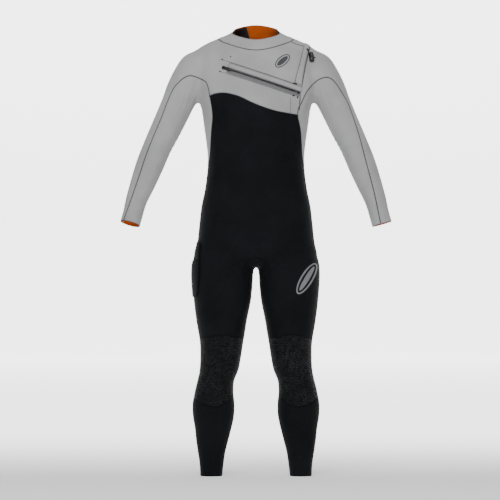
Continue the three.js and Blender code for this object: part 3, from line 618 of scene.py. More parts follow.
def sort_faces(panel):
    mesh = panel.data
    kind = np.full(len(mesh.polygons), FOAM)
    for i, face in enumerate(mesh.polygons):
        if outer_tree.find_nearest(face.center)[3] < NEAR:
            kind[i] = OUTSIDE
        elif inner_tree.find_nearest(face.center)[3] < NEAR:
            kind[i] = LINING
    beside = {}
    for i, face in enumerate(mesh.polygons):
        for key in face.edge_keys:
            beside.setdefault(key, []).append(i)
    waiting = {i for i in range(len(kind)) if kind[i] == FOAM}
    while waiting:
        patch = [waiting.pop()]
        for i in patch:
            for key in mesh.polygons[i].edge_keys:
                for other in beside[key]:
                    if other in waiting:
                        waiting.discard(other)
                        patch.append(other)
        if sum(mesh.polygons[i].area for i in patch) < SPECK:
            kind[patch] = OUTSIDE
    mesh.polygons.foreach_set("material_index", kind)
    edge_uses = {key: [int(kind[i]) for i in pair] for key, pair in beside.items()}
    rim = [key for key, kinds in edge_uses.items() if sorted(kinds) == [OUTSIDE, FOAM]]
    co = corners_of(panel)
    tree = KDTree(len(rim) * 2)
    for n, (a, b) in enumerate(rim):
        tree.insert(co[a], 2 * n)
        tree.insert((co[a] + co[b]) / 2, 2 * n + 1)
    tree.balance()
    distance = np.array([tree.find(c)[2] for c in co])
    layer = mesh.attributes.new("edge_distance", "FLOAT", "POINT")
    layer.data.foreach_set("value", distance)
    return rim


rims = {name: sort_faces(panel) for name, panel in panels.items()}
print("edges on the outside:", sum(len(r) for r in rims.values()))

# %% [markdown]
# ## Seam thread
# The panels are butted, glued and blind-stitched with dark thread, which shows as one thin raised line.
# The line is taken from the panels' own edges: their loops are put in order, evened out, and swept into
# a thin cord half sunk in the cloth. Where two panels share a seam, only the first one gets the thread.

# %% Order the edges into even lines
THREAD_STEP = 0.003


def loops_of(rim, co):
    """The rim's edges as ordered closed loops of places."""
    links = {}
    for a, b in rim:
        links.setdefault(a, []).append(b)
        links.setdefault(b, []).append(a)
    unused = set(links)
    found = []
    while unused:
        start = min(unused)
        line, before, now = [start], None, start
        unused.discard(start)
        while True:
            onward = [v for v in links[now] if v in unused]
            if not onward:
                break
            before, now = now, onward[0]
            unused.discard(now)
            line.append(now)
        found.append(co[line])
    return [line for line in found if len(line) > 8]


def even(line, step, closed=True):
    """The same line with evenly spaced places."""
    if closed:
        line = np.vstack([line, line[:1]])
    run = np.concatenate([[0], np.cumsum(np.linalg.norm(np.diff(line, axis=0), axis=1))])
    count = max(3, int(round(run[-1] / step)))
    marks = np.linspace(0, run[-1], count + 1)
    out = np.stack([np.interp(marks, run, line[:, k]) for k in range(3)], axis=1)
    return out[:-1] if closed else out


def runs(flags):
    """The stretches of a closed loop where the flags hold, as lists of indices."""
    n = len(flags)
    if all(flags):
        return [list(range(n)) + [0]]
    start = next(i for i in range(n) if not flags[i])
    out, now = [], []
    for k in range(n + 1):
        i = (start + k) % n
        if flags[i] and k < n:
            now.append(i)
        elif now:
            out.append(now)
            now = []
    return out


def is_hem(place):
    """Whether a place lies on the collar's rim, a cuff's edge or an ankle's edge, where nothing is joined."""
    x, y, z = place[0] / MM, place[1] / MM - FORM_BACK, place[2] / MM
    rim = neck_height(neck_turn(x, y), *RIM)
    down = (abs(x) - CUFF[0]) * math.sin(cuff_run) - (z - CUFF[1]) * math.cos(cuff_run)
    tilted = (y + 9) * math.tan(math.radians(CUFF_TILT[1 if x > 0 else -1]))
    return z < 2 or (z > 1385 and z > rim - 9) or (abs(x) > 300 and down > -2.5 + min(0, tilted))


def in_slot(place):
    off = Vector(place) - ZIP_CENTRE
    across = abs(off.dot(RISE)) < (SLOT_HALF + 4) * MM
    beside = abs(off.dot(ALONG) - middle) < (SLOT_LONG / 2 + 4) * MM
    return place[1] < -0.05 and across and beside


seam_lines = []
drawn = []
order = ["underarm_right", "underarm_left", "collar", "gusset", "knee_pad_right", "knee_pad_left",
         "knee_back_right", "knee_back_left", "chest_yoke", "upper_back", "front_body",
         "shin_right", "shin_left"]
for name in order:
    tree = KDTree(max(1, len(drawn)))
    for i, place in enumerate(drawn):
        tree.insert(place, i)
    tree.balance()
    earlier = len(drawn) > 0
    for loop in loops_of(rims[name], corners_of(panels[name])):
        line = even(loop, THREAD_STEP)
        own = KDTree(len(loop))
        for i, place in enumerate(loop):
            own.insert(place, i)
        own.balance()
        shared = [own.find(p)[2] > 0.004 or (earlier and tree.find(p)[2] < 0.0022) for p in line]
        free = [not is_hem(p) and not in_slot(p) and not twice for p, twice in zip(line, shared)]
        for stretch in runs(free):
            if len(stretch) > 5 and len(line) > 30:
                seam_lines.append((name, line[stretch]))
        drawn.extend(line)
thread_long = sum(len(line) for _, line in seam_lines) * THREAD_STEP
print(len(seam_lines), "seam lines,", round(thread_long, 1), "m of thread")

# %% [markdown]
# ## Cords from lines
# A sweep carries a small ring along a line. The ring's frame is handed on from step to step, so the
# cord does not twist, and each corner keeps how far along it lies, for the twist of the thread.

# %% Sweep the seam threads
def sweep(lines, radius, sides=6, flat=1.0, ups=None):
    """Verts, faces and distances along for a set of swept cords."""
    verts, faces, along = [], [], []
    for n, line in enumerate(lines):
        line = np.asarray(line, float)
        run = np.gradient(line, axis=0)
        run /= np.maximum(np.linalg.norm(run, axis=1)[:, None], 1e-9)
        travelled = np.concatenate([[0], np.cumsum(np.linalg.norm(np.diff(line, axis=0), axis=1))])
        up = Vector(ups[n][0]) if ups else Vector((0.0, -1.0, 0.2))
        first = len(verts)
        for i, (place, ahead) in enumerate(zip(line, run)):
            ahead = Vector(ahead)
            if ups:
                up = Vector(ups[n][i])
            up = (up - ahead * up.dot(ahead)).normalized()
            across = ahead.cross(up)
            for k in range(sides):
                turn = 2 * math.pi * k / sides
                off = across * math.cos(turn) + up * (math.sin(turn) * flat)
                verts.append(Vector(place) + off * radius)
                along.append(travelled[i])
        for i in range(len(line) - 1):
            for k in range(sides):
                a, b = first + i * sides + k, first + i * sides + (k + 1) % sides
                faces.append((a, b, b + sides, a + sides))
        faces.append(tuple(first + k for k in range(sides))[::-1])
        faces.append(tuple(len(verts) - sides + k for k in range(sides)))
    return verts, faces, along


def cord_piece(name, lines, radius, sides=6, flat=1.0, ups=None):
    verts, faces, along = sweep(lines, radius, sides, flat, ups)
    mesh = bpy.data.meshes.new(name)
    mesh.from_pydata([tuple(v) for v in verts], [], faces)
    layer = mesh.attributes.new("run", "FLOAT", "POINT")
    layer.data.foreach_set("value", along)
    piece = bpy.data.objects.new(name, mesh)
    bpy.context.scene.collection.objects.link(piece)
    work_on(piece)
    bpy.ops.object.shade_smooth_by_angle(angle=math.radians(60))
    return piece


def settle(line, lift):
    """A line eased a little and laid on the skin, and the skin's direction at each of its places."""
    line = np.array(line)
    for _ in range(3):
        line[1:-1] = (line[:-2] + 2 * line[1:-1] + line[2:]) / 4
    out, ups = [], []
    for place in line:
        nearest, normal, _, _ = outer_tree.find_nearest(Vector(place))
        out.append(np.array(nearest + normal * lift))
        ups.append(np.array(normal))
    ups = np.array(ups)
    for _ in range(4):
        ups[1:-1] = (ups[:-2] + 2 * ups[1:-1] + ups[2:]) / 4
    return np.array(out), ups


SEAM_THREAD = 0.0011
threads = {}
for name in order:
    settled = [settle(line, 0.0) for owner, line in seam_lines if owner == name]
    if settled:
        lines, ups = [line for line, _ in settled], [up for _, up in settled]
        threads[name] = cord_piece(f"{name}_seams", lines, SEAM_THREAD, 6, 0.75, ups)
print(len(threads), "sets of seam thread")

# %% [markdown]
# ## Materials from nodes
# A material is a small net of nodes. The helper adds a node by its type, sets its values and links its
# inputs, so that each finish below reads from top to bottom: pattern, colour, roughness, height.

# %% Node helpers
class Finish:
    """A material being built, with its shader's constant values set on the shader itself."""

    def __init__(self, name, **constants):
        self.material = bpy.data.materials.new(name)
        self.material.use_nodes = True
        self.tree = self.material.node_tree
        self.shader = self.tree.nodes["Principled BSDF"]
        for socket, value in constants.items():
            self.shader.inputs[socket.replace("_", " ")].default_value = value
        self.where = self.add("ShaderNodeTexCoord").outputs["Object"]

    def add(self, kind, inputs=None, **settings):
        node = self.tree.nodes.new(kind)
        for name, value in settings.items():
            setattr(node, name, value)
        for socket, value in (inputs or {}).items():
            if isinstance(value, bpy.types.NodeSocket):
                self.tree.links.new(value, node.inputs[socket])
            else:
                node.inputs[socket].default_value = value
        return node

    def math(self, operation, a, b=0.0, c=0.0):
        return self.add("ShaderNodeMath", {0: a, 1: b, 2: c}, operation=operation).outputs[0]

    def noise(self, scale, detail=2.0, roughness=0.5, where=None):
        inputs = {"Vector": where or self.where, "Scale": scale, "Detail": detail, "Roughness": roughness}
        return self.add("ShaderNodeTexNoise", inputs).outputs["Fac"]

    def ramp(self, value, low, high, to_low=0.0, to_high=1.0):
        inputs = {"Value": value, "From Min": low, "From Max": high, "To Min": to_low, "To Max": to_high}
        return self.add("ShaderNodeMapRange", inputs, interpolation_type="SMOOTHSTEP").outputs["Result"]

    def mix(self, share, first, second):
        node = self.add("ShaderNodeMix", data_type="RGBA")
        for socket, value in ((node.inputs[0], share), (node.inputs[6], first), (node.inputs[7], second)):
            if isinstance(value, bpy.types.NodeSocket):
                self.tree.links.new(value, socket)
            else:
                socket.default_value = value
        return node.outputs[2]

    def attribute(self, name):
        return self.add("ShaderNodeAttribute", attribute_name=name).outputs["Fac"]

    def stretched(self, x, y, z, turn=0.0):
        inputs = {"Vector": self.where, "Scale": (x, y, z), "Rotation": (0, turn, 0)}
        return self.add("ShaderNodeMapping", inputs).outputs["Vector"]

    def done(self, colour, roughness=None, height=None, depth=0.0002, strength=1.0):
        self.tree.links.new(colour, self.shader.inputs["Base Color"])
        if roughness is not None:
            self.tree.links.new(roughness, self.shader.inputs["Roughness"])
        if height is not None:
            bump = self.add("ShaderNodeBump", {"Height": height, "Distance": depth, "Strength": strength})
            self.tree.links.new(bump.outputs["Normal"], self.shader.inputs["Normal"])
        return self.material


def tone(r, g, b):
    return (r, g, b, 1.0)


# %% [markdown]
# ## Knitted jersey
# The outside of neoprene is a fine nylon knit: rows of tiny loops about a millimetre apart, a soft sheen
# where the light grazes the fibres, and slow, faint patches where the rubber below is tighter. Near a
# seam the cloth dips, and its colour is darkened over the last few millimetres as painted shade.

# %% The jersey of the yoke and sleeves, and of the body and legs
def jersey(name, light, dark, sheen, roughness, speckle, seam_shade, shine):
    f = Finish(name, Sheen_Weight=sheen, Sheen_Roughness=0.45, Specular_IOR_Level=shine)
    f.shader.inputs["Sheen Tint"].default_value = tone(0.9, 0.93, 1.0)
    xyz = f.add("ShaderNodeSeparateXYZ", {0: f.where})
    wales = f.math("SINE", f.math("MULTIPLY", xyz.outputs["X"], 6000))
    courses = f.math("SINE", f.math("MULTIPLY", xyz.outputs["Z"], 4200))
    knit = f.math("MULTIPLY", wales, courses)
    fibre = f.noise(900, 3, 0.6)
    patches = f.noise(9, 3, 0.55)
    grain = f.noise(420, 2, 0.7)
    edge = f.attribute("edge_distance")
    # Painted shade: the colour darkens towards the panel's edge over the last 4 mm, where a seam's valley
    # would be in shade.
    shade = f.ramp(edge, 0.0, 0.004, seam_shade, 0.0)
    pucker = f.noise(1.0, 1, 0.4, f.stretched(170, 170, 170))
    colour = f.mix(f.ramp(patches, 0.3, 0.7), dark, light)
    bright = tone(*(c * 1.9 + 0.004 for c in light[:3]))
    colour = f.mix(f.ramp(grain, 0.35, 0.7, 0.0, speckle), colour, bright)
    colour = f.mix(f.ramp(fibre, 0.62, 0.8, 0.0, 0.35), colour, dark)
    colour = f.mix(shade, colour, tone(*(c * 0.25 for c in dark[:3])))
    rough = f.ramp(grain, 0.2, 0.8, roughness - 0.08, roughness + 0.08)
    dip = f.ramp(edge, 0.0, 0.0035)
    ripple = f.math("MULTIPLY", f.ramp(edge, 0.002, 0.016, 1.0, 0.0), pucker)
    height = f.math("ADD", f.math("MULTIPLY", knit, 0.12), f.math("MULTIPLY", fibre, 0.35))
    seam_height = f.math("ADD", f.math("MULTIPLY", dip, 3.0), f.math("MULTIPLY", ripple, 1.6))
    height = f.math("ADD", height, seam_height)
    return f.done(colour, rough, height, 0.00035, 0.8)


grey_jersey = jersey(
    "grey_jersey", tone(0.44, 0.44, 0.445), tone(0.375, 0.375, 0.38),
    sheen=0.1, roughness=0.82, speckle=0.06, seam_shade=0.5, shine=0.15,
)
black_jersey = jersey(
    "black_jersey", tone(0.0062, 0.0072, 0.0092), tone(0.0034, 0.004, 0.0054),
    sheen=0.02, roughness=0.74, speckle=0.22, seam_shade=0.7, shine=0.09,
)


def lining():
    f = Finish("orange_lining", Sheen_Weight=0.5, Sheen_Roughness=0.4, Specular_IOR_Level=0.2)
    f.shader.inputs["Sheen Tint"].default_value = tone(1.0, 0.6, 0.3)
    pile = f.noise(700, 4, 0.7)
    grid = f.add("ShaderNodeTexVoronoi", {"Vector": f.where, "Scale": 260.0}).outputs["Distance"]
    patches = f.noise(14, 2)
    colour = f.mix(f.ramp(patches, 0.3, 0.7), tone(0.52, 0.085, 0.006), tone(0.66, 0.125, 0.008))
    colour = f.mix(f.ramp(pile, 0.45, 0.75, 0.0, 0.5), colour, tone(0.36, 0.045, 0.004))
    height = f.math("ADD", f.math("MULTIPLY", pile, 0.8), grid)
    return f.done(colour, f.ramp(pile, 0.2, 0.8, 0.8, 0.98), height, 0.0004, 0.9)


def foam():
    f = Finish("foam_edge", Specular_IOR_Level=0.3)
    cells = f.add("ShaderNodeTexVoronoi", {"Vector": f.where, "Scale": 1600.0}).outputs["Distance"]
    colour = f.mix(f.ramp(cells, 0.1, 0.7), tone(0.006, 0.006, 0.007), tone(0.02, 0.02, 0.021))
    return f.done(colour, f.ramp(cells, 0, 0.8, 0.7, 0.95), cells, 0.0002, 0.8)


def knee_print():
    """Rubber ridges printed on the knee in a broken herringbone, which grip the board."""
    f = Finish("knee_print", Sheen_Weight=0.02, Sheen_Roughness=0.5, Specular_IOR_Level=0.12)
    xyz = f.add("ShaderNodeSeparateXYZ", {0: f.where})
    zigzag = f.math("PINGPONG", xyz.outputs["X"], 0.011)
    slope = f.math("ADD", xyz.outputs["Z"], f.math("MULTIPLY", zigzag, 1.1))
    wander = f.math("MULTIPLY", f.noise(60, 2), 0.004)
    stripes = f.math("SINE", f.math("MULTIPLY", f.math("ADD", slope, wander), 2 * math.pi / 0.0088))
    broken = f.ramp(f.noise(150, 2, 0.6), 0.4, 0.56)
    ridge = f.math("MULTIPLY", f.ramp(stripes, 0.05, 0.6), broken)
    wear = f.ramp(f.noise(22, 3), 0.35, 0.7, 0.35, 1.0)
    fibre = f.noise(800, 3, 0.6)
    colour = f.mix(f.ramp(fibre, 0.3, 0.8), tone(0.002, 0.0023, 0.0028), tone(0.005, 0.0055, 0.0065))
    colour = f.mix(f.math("MULTIPLY", ridge, wear), colour, tone(0.036, 0.039, 0.045))
    edge = f.attribute("edge_distance")
    # Painted shade: the colour darkens towards the pad's edge over the last 4 mm, as in a seam's valley.
    colour = f.mix(f.ramp(edge, 0.0, 0.004, 0.8, 0.0), colour, tone(0.002, 0.002, 0.003))
    height = f.math("ADD", f.math("MULTIPLY", ridge, 2.2), f.math("MULTIPLY", fibre, 0.4))
    height = f.math("ADD", height, f.math("MULTIPLY", f.ramp(edge, 0.0, 0.004), 3.0))
    return f.done(colour, f.ramp(ridge, 0, 1, 0.72, 0.5), height, 0.0004, 0.9)


def thread(name, light, dark, sheen=0.03):
    """Twisted thread: slanting strands, from each corner's distance along the cord."""
    f = Finish(name, Sheen_Weight=sheen, Specular_IOR_Level=0.12)
    run = f.attribute("run")
    side = f.add("ShaderNodeSeparateXYZ", {0: f.where}).outputs["Y"]
    slanted = f.math("ADD", run, f.math("MULTIPLY", side, 0.6))
    twist = f.math("SINE", f.math("MULTIPLY", slanted, 2 * math.pi / 0.0024))
    fuzz = f.noise(1500, 2)
    colour = f.mix(f.ramp(twist, -0.4, 0.7), dark, light)
    colour = f.mix(f.ramp(fuzz, 0.4, 0.8, 0, 0.4), colour, dark)
    height = f.math("ADD", twist, f.math("MULTIPLY", fuzz, 0.4))
    return f.done(colour, f.ramp(fuzz, 0.2, 0.8, 0.7, 0.9), height, 0.0003, 0.9)


orange_lining = lining()
foam_edge = foam()
knee_rubber = knee_print()
grey_thread = thread("grey_seam_thread", tone(0.085, 0.087, 0.095), tone(0.03, 0.031, 0.034))
black_thread = thread("black_seam_thread", tone(0.007, 0.0075, 0.009), tone(0.002, 0.002, 0.0025))
print(len(bpy.data.materials), "materials")

# %% Give the panels their finishes
GREY = ["chest_yoke", "left_shoulder", "upper_back", "collar", "underarm_right", "underarm_left"]
for name, panel in panels.items():
    outside = grey_jersey if name in GREY else knee_rubber if name.startswith("knee_pad") else black_jersey
    kinds = np.zeros(len(panel.data.polygons), int)
    panel.data.polygons.foreach_get("material_index", kinds)
    panel.data.materials.clear()  # this also sets every face back to the first slot
    for material in (outside, orange_lining, foam_edge):
        panel.data.materials.append(material)
    panel.data.polygons.foreach_set("material_index", kinds)
    work_on(panel)
    bpy.ops.object.shade_smooth_by_angle(angle=math.radians(50))
for name, piece in threads.items():
    piece.data.materials.append(grey_thread if name in GREY else black_thread)

# %% [markdown]
# ## Strips, pocket and prints that lie on the skin
# Everything sewn or bonded onto the panels follows the same curved skin. The layer between two heights
# over the skin is cut out with a prism, like dough with a cutter. Each corner keeps its distance to the
# sharp rims, and the piece is shaded smooth.

# %% Cut layers out of the skin
def prism(name, outline, near=-FAR, far=NECK_BACK):
    """A straight-sided cutter of an outline in x and z."""
    n = len(outline)
    verts = [spot(x, near, z) for x, z in outline] + [spot(x, far, z) for x, z in outline]
    faces = [tuple(range(n)), tuple(range(2 * n - 1, n - 1, -1))]
    faces += [(i, (i + 1) % n, (i + 1) % n + n, i + n) for i in range(n)]
    return make(name, verts, faces)


def mark_edges(piece, angle=0.8):
    """Keeps every corner's distance to the nearest sharp edge, as the panels have it."""
    co = corners_of(piece)
    normals = {}
    for face in piece.data.polygons:
        for key in face.edge_keys:
            normals.setdefault(key, []).append(face.normal)
    sharp = [key for key, pair in normals.items() if len(pair) == 2 and pair[0].angle(pair[1], 0) > angle]
    tree = KDTree(2 * len(sharp))
    for n, (a, b) in enumerate(sharp):
        tree.insert(co[a], 2 * n)
        tree.insert((co[a] + co[b]) / 2, 2 * n + 1)
    tree.balance()
    layer = piece.data.attributes.new("edge_distance", "FLOAT", "POINT")
    layer.data.foreach_set("value", [tree.find(c)[2] for c in co])


def layer_piece(name, cutter, low, high, materials):
    """The layer from low to high millimetres over the skin, inside the cutter, with its finishes."""
    piece = copy_of(form, name)
    under = inset(form, "under", -low)
    put_corners(piece, corners_of(form) + normals_of(form) * high * MM)
    under.data.flip_normals()
    work_on(piece, under)
    bpy.ops.object.join()
    combine(piece, cutter, "INTERSECT")
    mark_edges(piece)
    piece.data.materials.clear()
    for material in materials:
        piece.data.materials.append(material)
    work_on(piece)
    bpy.ops.object.shade_smooth_by_angle(angle=math.radians(45))
    print(name, len(piece.data.polygons), "faces")
    return piece


def rubber_print(name, light, dark):
    f = Finish(name, Specular_IOR_Level=0.4)
    grain = f.noise(500, 3, 0.6)
    crack = f.ramp(f.noise(160, 3, 0.7), 0.25, 0.4)
    colour = f.mix(f.ramp(grain, 0.3, 0.7), dark, light)
    colour = f.mix(crack, tone(*(c * 0.6 for c in dark[:3])), colour)
    return f.done(colour, f.ramp(grain, 0.2, 0.8, 0.5, 0.7), grain, 0.00015, 0.7)


def smooth_skin():
    """Bare rubber without cloth, dull and slightly pebbled, which grips the wearer's skin."""
    f = Finish("smooth_rubber_skin", Specular_IOR_Level=0.45)
    pebble = f.add("ShaderNodeTexVoronoi", {"Vector": f.where, "Scale": 900.0}).outputs["Distance"]
    patches = f.noise(30, 2)
    colour = f.mix(patches, tone(0.008, 0.0075, 0.0075), tone(0.02, 0.019, 0.018))
    return f.done(colour, f.ramp(patches, 0.2, 0.8, 0.45, 0.65), pebble, 0.0002, 0.5)


dark_print = rubber_print("dark_print", tone(0.075, 0.077, 0.085), tone(0.045, 0.046, 0.052))
pale_print = rubber_print("pale_print", tone(0.25, 0.255, 0.27), tone(0.17, 0.175, 0.185))
bare_rubber = smooth_skin()

FLAP_WELT = [(170, 1367), (158, 1323), (150, 1284), (146, 1247), (122, 1255), (127, 1278), (138, 1316),
             (150, 1365), (157, 1386), (176, 1390), (175, 1380)]
flap_welt = layer_piece("flap_welt", prism("cutter", FLAP_WELT), 0.15, 2.6, [grey_jersey])
pocket = [(-240, 573), (-192, 573), (-186, 592), (-183, 640), (-182, 690), (-240, 690)]
pocket_flap = [(-240, 691), (-182, 691), (-180, 726), (-182, 749), (-240, 749)]
thigh_pocket = layer_piece("pocket_bag", prism("cutter", pocket, -80, 80), 0.15, 4.2, [black_jersey])
thigh_flap = layer_piece("pocket_flap", prism("cutter", pocket_flap, -80, 80), 0.15, 3.2, [black_jersey])


def slanted_oval(x, z, long, short, lean, count=40):
    turn = np.linspace(0, 2 * np.pi, count, endpoint=False)
    a, b = long * np.cos(turn), short * np.sin(turn)
    return list(zip(x + a * math.cos(lean) - b * math.sin(lean), z + a * math.sin(lean) + b * math.cos(lean)))


def oval_mark(name, x, z, long, short, lean, line, material):
    """A plain oval ring with a smaller oval in it: a mark that stands for no maker."""
    cutter = prism("cutter", slanted_oval(x, z, long, short, lean))
    hole = prism("hole", slanted_oval(x, z, long - line, short - line, lean), -FAR - 9, 30)
    combine(cutter, hole, "DIFFERENCE")
    inner = prism("core", slanted_oval(x, z, long - 2.2 * line, short - 2.2 * line, lean))
    combine(cutter, inner, "UNION")
    return layer_piece(name, cutter, 0.05, 0.45, [material])


chest_mark = oval_mark("chest_mark", 84, 1324, 29, 15, 0.72, 3.2, dark_print)
thigh_mark = oval_mark("thigh_mark", 162, 632, 57, 20, 1.02, 5.5, pale_print)

# %% [markdown]
# ## Inside the openings
# The cuffs and ankles have a tape of the same bright cloth bonded inside, which stops the edge from
# rolling. Inside the neck, on the wearer's right, a sheet of bare black rubber lies where the collar's
# inside is in shade: painted shade, made as a sheet.

# %% Hem tapes, a black sheet of painted shade in the neck, and zip guard
hem_tapes = {}
for hand, side in (("right", -1), ("left", 1)):
    middle_x, middle_z = side * (CUFF[0] - 22 * math.sin(cuff_run)), CUFF[1] + 22 * math.cos(cuff_run)
    cutter = block("cutter", (middle_x, 0, middle_z), (120, 200, 32), -side * cuff_run)
    hem_tapes[f"wrist_{hand}"] = layer_piece(f"wrist_tape_{hand}", cutter, -5.8, -4.15, [orange_lining])
    cutter = block("cutter", (side * 143, 0, 21), (120, 200, 38))
    hem_tapes[f"ankle_{hand}"] = layer_piece(f"ankle_tape_{hand}", cutter, -5.8, -4.15, [orange_lining])
# Painted shade: a black sheet over the part of the collar's inside that lies in the rim's shadow.
barrier = [(-80, 1407), (-80, 1428), (-31, 1440), (-27, 1425), (-21, 1405), (-10, 1385), (-70, 1385)]
cutter = prism("cutter", barrier, NECK_BACK - 30, 200)
combine(cutter, neck_plate("shade_sheet_top", tuple(height - 3 for height in RIM), 200), "DIFFERENCE")
neck_barrier = layer_piece("neck_shade_sheet", cutter, -6.2, -4.15, [bare_rubber])
guard = []
for run, up in ((-14, -26), (248, -26), (248, 26), (-14, 26)):
    place = Vector((141, 0, 1226)) + (ALONG * (run - 241) + RISE * up)
    guard.append((place.x, place.z))
zip_guard = layer_piece("zip_guard_strip", prism("cutter", guard), -8.8, -6.8, [bare_rubber])

# %% [markdown]
# ## The zip
# Moulded teeth grip each other along the middle of two woven tapes. One tooth is modelled, from a small
# bevelled block, and copied along the zip's arc with half a pitch between the two rows. The tapes are
# woven with fine ribs across them.

# %% Teeth, tapes and welt
def woven_tape():
    f = Finish("woven_tape", Sheen_Weight=0.2, Specular_IOR_Level=0.25)
    turned = f.stretched(1, 1, 1, -ZIP_SLOPE)
    split = f.add("ShaderNodeSeparateXYZ", {0: turned})
    ribs = f.math("SINE", f.math("MULTIPLY", split.outputs["X"], 2 * math.pi / 0.0032))
    rows = f.math("SINE", f.math("MULTIPLY", split.outputs["Z"], 2 * math.pi / 0.0021))
    fibre = f.noise(900, 3, 0.6)
    weave = f.ramp(f.math("MULTIPLY", ribs, rows), -0.5, 0.5)
    colour = f.mix(weave, tone(0.11, 0.112, 0.118), tone(0.30, 0.30, 0.31))
    colour = f.mix(f.ramp(fibre, 0.4, 0.8, 0, 0.5), colour, tone(0.16, 0.162, 0.17))
    height = f.math("ADD", weave, f.math("MULTIPLY", fibre, 0.5))
    return f.done(colour, f.ramp(fibre, 0.2, 0.8, 0.8, 0.95), height, 0.0004, 1.0)


def moulded_plastic():
    f = Finish("moulded_plastic", Specular_IOR_Level=0.5)
    grain = f.noise(1400, 2, 0.6)
    wear = f.ramp(f.noise(120, 3, 0.6), 0.5, 0.75)
    colour = f.mix(wear, tone(0.0075, 0.0075, 0.008), tone(0.02, 0.02, 0.021))
    return f.done(colour, f.ramp(wear, 0, 1, 0.38, 0.6), grain, 0.0001, 0.5)


def dark_steel():
    f = Finish("blackened_steel", Metallic=0.9)
    scratch = f.noise(90, 3, 0.6, f.stretched(1, 1, 14))
    colour = f.mix(f.ramp(scratch, 0.35, 0.7), tone(0.05, 0.05, 0.053), tone(0.16, 0.162, 0.168))
    return f.done(colour, f.ramp(scratch, 0.3, 0.8, 0.28, 0.5), scratch, 0.00005, 0.4)


tape_weave, black_plastic, slider_steel = woven_tape(), moulded_plastic(), dark_steel()
TOOTH_PITCH = 2.2
bpy.ops.object.select_all(action="DESELECT")
bpy.ops.mesh.primitive_cube_add(size=1)
tooth = bpy.context.object
tooth.scale = (1.25 * MM, 1.9 * MM, 2.5 * MM)
bpy.ops.object.transform_apply(location=False, rotation=False, scale=True)
bpy.ops.object.mode_set(mode="EDIT")
bpy.ops.mesh.bevel(offset=0.35 * MM, segments=1, affect="EDGES")
bpy.ops.object.mode_set(mode="OBJECT")
tooth_verts, tooth_faces = corners_of(tooth), [tuple(f.vertices) for f in tooth.data.polygons]
bpy.data.objects.remove(tooth)
TEETH_FROM, TEETH_TO = ZIP_START + 0.0125, 0.39409


def teeth_row(name, up, shift):
    verts, faces = [], []
    step = TOOTH_PITCH * MM / ZIP_RADIUS
    for turn in np.arange(TEETH_FROM + shift * step, TEETH_TO, step):
        middle = zip_place(turn, up - CHAIN_DROP, 2.0)
        tangent = ALONG * math.cos(turn) - OUT * math.sin(turn)
        normal = ALONG * math.sin(turn) + OUT * math.cos(turn)
        first = len(verts)
        verts += [middle + tangent * x + normal * y + RISE * z for x, y, z in tooth_verts]
        faces += [tuple(first + v for v in face) for face in tooth_faces]
    piece = make(name, verts, faces)
    piece.data.materials.append(black_plastic)
    work_on(piece)
    bpy.ops.object.shade_smooth_by_angle(angle=math.radians(30))
    return piece


upper_teeth = teeth_row("upper_teeth", 1.3, 0.0)
lower_teeth = teeth_row("lower_teeth", -1.3, 0.5)
welt_outline = []
for run, up in ((-2, 1.0), (243, 1.0), (243, SLOT_HALF), (-2, SLOT_HALF)):
    place = Vector((141, 0, 1226)) + (ALONG * (run - 241) + RISE * up)
    welt_outline.append((place.x, place.z))
zip_welt = layer_piece("zip_welt_strip", prism("cutter", welt_outline), -0.1, 0.9, [grey_jersey])

# %% [markdown]
# ## Hard parts with softened edges
# The slider, its pull, the stops, the pin and its box are moulded or cast, so no edge of theirs is
# knife-sharp. Each starts from a copy of the measured node, whose loose triangles are merged first, and
# gets a small bevel.

# %% Slider, pull, stops, pin, box and eyelet
def softened(node, name, width, material, cad_body):
    """A copy of a measured node with its edges rounded, which takes the node's place on its body."""
    piece = copy_of(frame["nodes"][node], name)
    piece.parent = None
    for key in list(piece.keys()):
        del piece[key]
    work_on(piece)
    bpy.ops.object.mode_set(mode="EDIT")
    bpy.ops.mesh.select_all(action="SELECT")
    bpy.ops.mesh.remove_doubles(threshold=0.00001)
    if width:
        bpy.ops.mesh.dissolve_limited(angle_limit=math.radians(2))
    bpy.ops.object.mode_set(mode="OBJECT")
    if width:
        sharp = math.radians(28)
        modify(piece, "BEVEL", width=width * MM, segments=3, limit_method="ANGLE", angle_limit=sharp)
    piece.data.materials.clear()
    piece.data.materials.append(material)
    work_on(piece)
    bpy.ops.object.shade_smooth_by_angle(angle=math.radians(40))
    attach(piece, cad_body)
    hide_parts(node)
    print(name, len(piece.data.polygons), "faces")
    return piece


HARD = [
    ("zip_slider", "slider_body", 0.5, slider_steel, "zip_slider"),
    ("zip_pull", "pull_tab", 0.35, black_plastic, "zip_pull"),
    ("zip_stop_upper", "stop_upper", 0.4, slider_steel, "suit"),
    ("zip_stop_lower", "stop_lower", 0.4, slider_steel, "suit"),
    ("zip_pin", "insertion_pin", 0.4, black_plastic, "suit"),
    ("zip_box", "retainer_box", 0.5, black_plastic, "suit"),
    ("drawcord_eyelet", "eyelet_ring", 0.15, slider_steel, "suit"),
]
for row in HARD:
    softened(*row)

# %% [markdown]
# ## The cord lock
# At the top of the flap a sprung barrel grips a short drawcord. The measured barrel gets soft edges and
# four finger grooves cut round it. The button slides in it on a spring, and its slot clears the cord.

# %% Barrel, button, cord and bead
# A Boolean cut can come out differently for a change in a number's last digit, so what is read off a
# measured node is rounded.
def axes_of(node):
    """A measured node's middle, its corners from there, and its main directions, the longest way first."""
    co = corners_of(frame["nodes"][node])
    _, first = np.unique(co.round(6), axis=0, return_index=True)
    centre = co[first].mean(axis=0)
    corners = co[first] - centre
    return centre, corners, np.linalg.svd(corners, full_matrices=False)[2].round(5)


